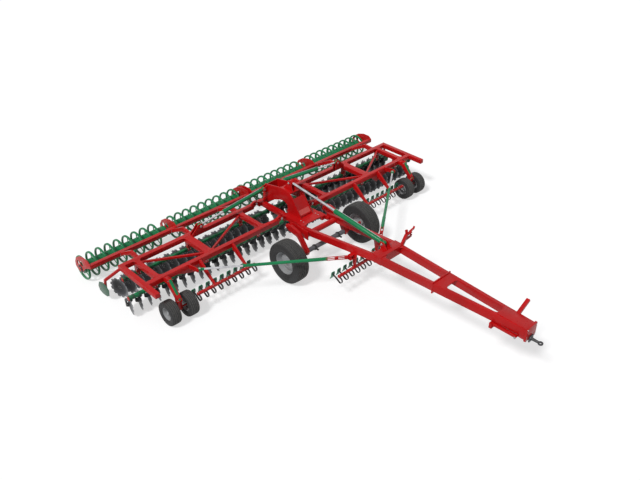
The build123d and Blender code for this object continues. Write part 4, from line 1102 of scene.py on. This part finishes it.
def rest_fittings():
    """The prongs and foot plates of the wing's rest, and the side flanges of the front rest."""
    red, bolted = Shape(), Shape()
    for x0, z0, x1, z1 in ((470, 1350, 745, 1385), (690, 1528, 835, 1562)):
        red.add(swept([(x0, REST_Y, z0), (x1, REST_Y, z1)], 46, 40, BACK, 0.1))
        red.add(swept([(x1 - 8, REST_Y, z1 - 14), (x1 + 22, REST_Y, z1 + 52)], 46, 22, BACK, 0.1))
        bolted.add(bolt((x1 - 50, REST_Y - 23, z1 - 4), -BACK, 12))
    foot = [(380, 1240), (440, 1225), (560, 1400), (640, 1500), (590, 1540), (540, 1490)]
    for way in WAYS:
        y = FRONT_REST_Y + way * 38
        red.add(plate(foot, REST_Y + way * 34, 8, "y"))
        red.add(swept([(175, y, 1308), (515, y, 1496)], 8, 58, BACK, 0.1))
    heads = [(x, REST_Y - 38, z) for x, z in ((420, 1270), (520, 1385), (590, 1480))]
    bolted.add(bolts(heads, -BACK, 12))
    make("rest_plates", red, RED, "chassis", bevel=0.002)
    make("rest_bolts", bolted, ZINC, "chassis")


STAND_FOOT_Y = -6630
STAND_PIN_HEAD = Vector((-285, -7250, 1075))


def stand_fittings():
    """The turned-up rim and the ribs of the parking stand's foot, and the head of its pin."""
    back = STAND_FOOT_Y
    red = block(-291, -159, back - 70, back - 3, 983, 991)
    for x in (-297, -161):
        red.add(block(x, x + 8, back - 70, back - 3, 983, 1117))
    for x in (-262, -196):
        red.add(plate([(back - 8, 1110), (back - 120, 1100), (back - 120, 1050), (back - 8, 1000)], x, 8))
    make("stand_foot_rim", red, RED, "stand", bevel=0.0015)
    make("stand_pin_cap", pin_cap(STAND_PIN_HEAD, -ACROSS, 20), ZINC, "stand")


TOWER_FOOT = Vector((0, -700, 1010))
TOWER_TOP = Vector((0, -420, 1440))
DECK_TOP = 990


def tower_fittings():
    """A paler red panel on the front plate, a painted sheen, and the bolts of the deck."""
    way = direction(TOWER_FOOT, TOWER_TOP)
    out = ACROSS.cross(way)
    outline = [(40, -185), (40, 185), (175, 185), (175, -185)]
    low, high = [[TOWER_FOOT + way * t + ACROSS * w + out * lift for t, w in outline] for lift in (7.5, 10)]
    # The paler panel stands in for a sheen on the plate: painted sheen.
    make("tower_painted_sheen", prism(low, high), SHEEN_RED, "centre")
    heads = [(x, y, DECK_TOP) for x in (-260, 260) for y in (-900, -800)]
    make("deck_bolts", bolts(heads, UP, 14), ZINC, "centre")


def gauge_fittings():
    """The green adjuster link in front of each gauge leg, with its lugs and bolts."""
    line = [(GAUGE_X, y, z) for y, z in ((-560, 985), (-600, 945), (-765, 745), (-880, 560))]
    upper = [(-370, 985), (-370, 905), (-520, 900), (-590, 930), (-600, 985), (-560, 1010)]
    lower = [(-760, 600), (-800, 640), (-890, 620), (-925, 560), (-890, 500), (-800, 500)]
    lugs, bolted = Shape(), Shape()
    for way in WAYS:
        side = GAUGE_X + way * 41
        lugs.add(plate(upper, side, 10), plate(lower, side, 10))
        bolted.add(bolts([(side + way * 5, y, z) for y, z in ((-562, 965), (-878, 565))], (way, 0, 0)))
    make_pair("gauge_adjuster", swept(line, 66, 48, ACROSS, 0.15), GREEN, "wing", bevel=0.002)
    make_pair("gauge_adjuster_lugs", lugs, RED, "wing", bevel=0.0015)
    make_pair("gauge_adjuster_bolts", bolted, ZINC, "wing")


SLEEVE_HALF = 654
SLEEVE_RADIUS = 61
BRACKET_X = 420


def axle_fittings():
    """The grey sleeve on the axle tube and its two black brackets."""
    y, z = ROAD_WHEEL.y, ROAD_WHEEL.radius
    steps = chamfered(0, 2 * SLEEVE_HALF, SLEEVE_RADIUS, 4)
    make("axle_sleeve", stepped((-SLEEVE_HALF, y, z), (SLEEVE_HALF, y, z), steps, 32), SLEEVE, "axle")
    brackets = Shape()
    for x in (-BRACKET_X, BRACKET_X):
        brackets.add(ring((x, y, z), ACROSS, 78, 60, 46))
        brackets.add(block(x - 20, x + 20, y - 150, y - 60, z - 26, z + 4))
    make("axle_brackets", brackets, BLACK, "axle", bevel=0.002)


EYE_CENTRE = Vector((0, -7690, 1030))


def towing_eye():
    """The forged eye with its shank, and its bolted flange."""
    bulge = [(15, 28), (21, 34), (23, 42), (21, 51), (14, 57)]
    loop = [(0, 27), *bulge, (0, 58), *((-offset, radius) for offset, radius in reversed(bulge))]
    shape = turned(loop, 48).moved(pointing(EYE_CENTRE, EYE_CENTRE + UP))
    shank = [(0, 40), (30, 38), (60, 34), (120, 31), (186, 30), (200, 26)]
    _, y, z = EYE_CENTRE
    shape.add(stepped((0, NOSE_FACE, z), EYE_CENTRE, shank, 28))
    shape.add(block(-70, 70, NOSE_FACE - 30, NOSE_FACE, z - 70, z + 70))
    make("towing_eye_forged", shape, FORGED, "chassis", ["towing_eye"], bevel=0.003)
    heads = corners(0, NOSE_FACE - 30, z, 50, 50)
    make("towing_eye_bolts", bolts(heads, -BACK, 12), ZINC, "chassis")


# Light, floor and camera

SKY_LIGHT = 0.32
SKY_TINT = (0.95, 0.97, 1.0, 1)
WHITE = (1, 1, 1, 1)
SUN_LIGHT = 2.15
SUN_WAY = (0.8, 0.1, -1.0)
SUN_SPREAD = 12
FLOOR_HALF = 120.0
FLOOR_TONE = (0.55, 0.55, 0.55, 1)
FLOOR_GLOW = 0.57
CAMERA_PLACE = (-10.848, -9.782, 10.881)
CAMERA_LOOK = (0.5793, 0.5964, -0.5557)
CAMERA_LENS = 40.21


def looking(name, data, way):
    """A lamp or a camera that looks along a direction."""
    thing = placed(name, data)
    thing.rotation_euler = Vector(way).to_track_quat("-Z", "Y").to_euler()
    return thing


def empty_tree(owner):
    owner.use_nodes = True
    owner.node_tree.nodes.clear()
    return Nodes(owner.node_tree)


def seen_rays(n):
    """One for the rays that show or reflect the studio, and zero for the others."""
    path = n.add("LightPath").outputs
    seen = n.maths("MAXIMUM", path["Is Camera Ray"], path["Is Glossy Ray"])
    return n.maths("MAXIMUM", seen, path["Is Transmission Ray"])


def build_floor():
    """A wide plain floor that shows as white and takes soft shadows."""
    mesh = bpy.data.meshes.new("floor")
    low, high = -FLOOR_HALF, FLOOR_HALF
    mesh.from_pydata([(low, low, 0), (high, low, 0), (high, high, 0), (low, high, 0)], [], [(0, 1, 2, 3)])
    material = bpy.data.materials.new("floor white")
    n = empty_tree(material)
    glow = n.add("Emission", {"Strength": n.times(seen_rays(n), FLOOR_GLOW)}).outputs[0]
    matt = n.add("BsdfDiffuse", {"Color": FLOOR_TONE}).outputs[0]
    both = n.add("AddShader", {0: glow, 1: matt}).outputs[0]
    n.add("OutputMaterial", {"Surface": both})
    mesh.materials.append(material)
    placed("floor", mesh)


def build_world():
    """A soft sky that lights the part, and plain white where it is seen."""
    world = bpy.data.worlds.new("studio")
    scene.world = world
    n = empty_tree(world)
    soft = n.add("Background", {"Color": SKY_TINT, "Strength": SKY_LIGHT}).outputs[0]
    white = n.add("Background", {"Color": WHITE, "Strength": 1.0}).outputs[0]
    both = n.add("MixShader", {0: seen_rays(n), 1: soft, 2: white}).outputs[0]
    n.add("OutputWorld", {"Surface": both})


def build_sun():
    """One soft sun from the left."""
    lamp = bpy.data.lights.new("sun", "SUN")
    lamp.energy = SUN_LIGHT
    lamp.angle = radians(SUN_SPREAD)
    looking("sun", lamp, SUN_WAY)


def build_camera():
    data = bpy.data.cameras.new("camera")
    data.lens = CAMERA_LENS
    data.sensor_width = 36.0
    data.clip_end = 500.0
    camera = looking("camera", data, CAMERA_LOOK)
    camera.location = CAMERA_PLACE
    bpy.context.scene.camera = camera


build_camera()
build_sun()
build_world()
build_floor()
build_frames()
build_discs()
build_rollers()
build_boards()
build_wheels()
build_cylinders()
build_struts()
towing_eye()
pin_fittings()
wing_fittings()
drawbar_fittings()
rest_fittings()
stand_fittings()
tower_fittings()
gauge_fittings()
axle_fittings()

scene.view_settings.view_transform = "Standard"
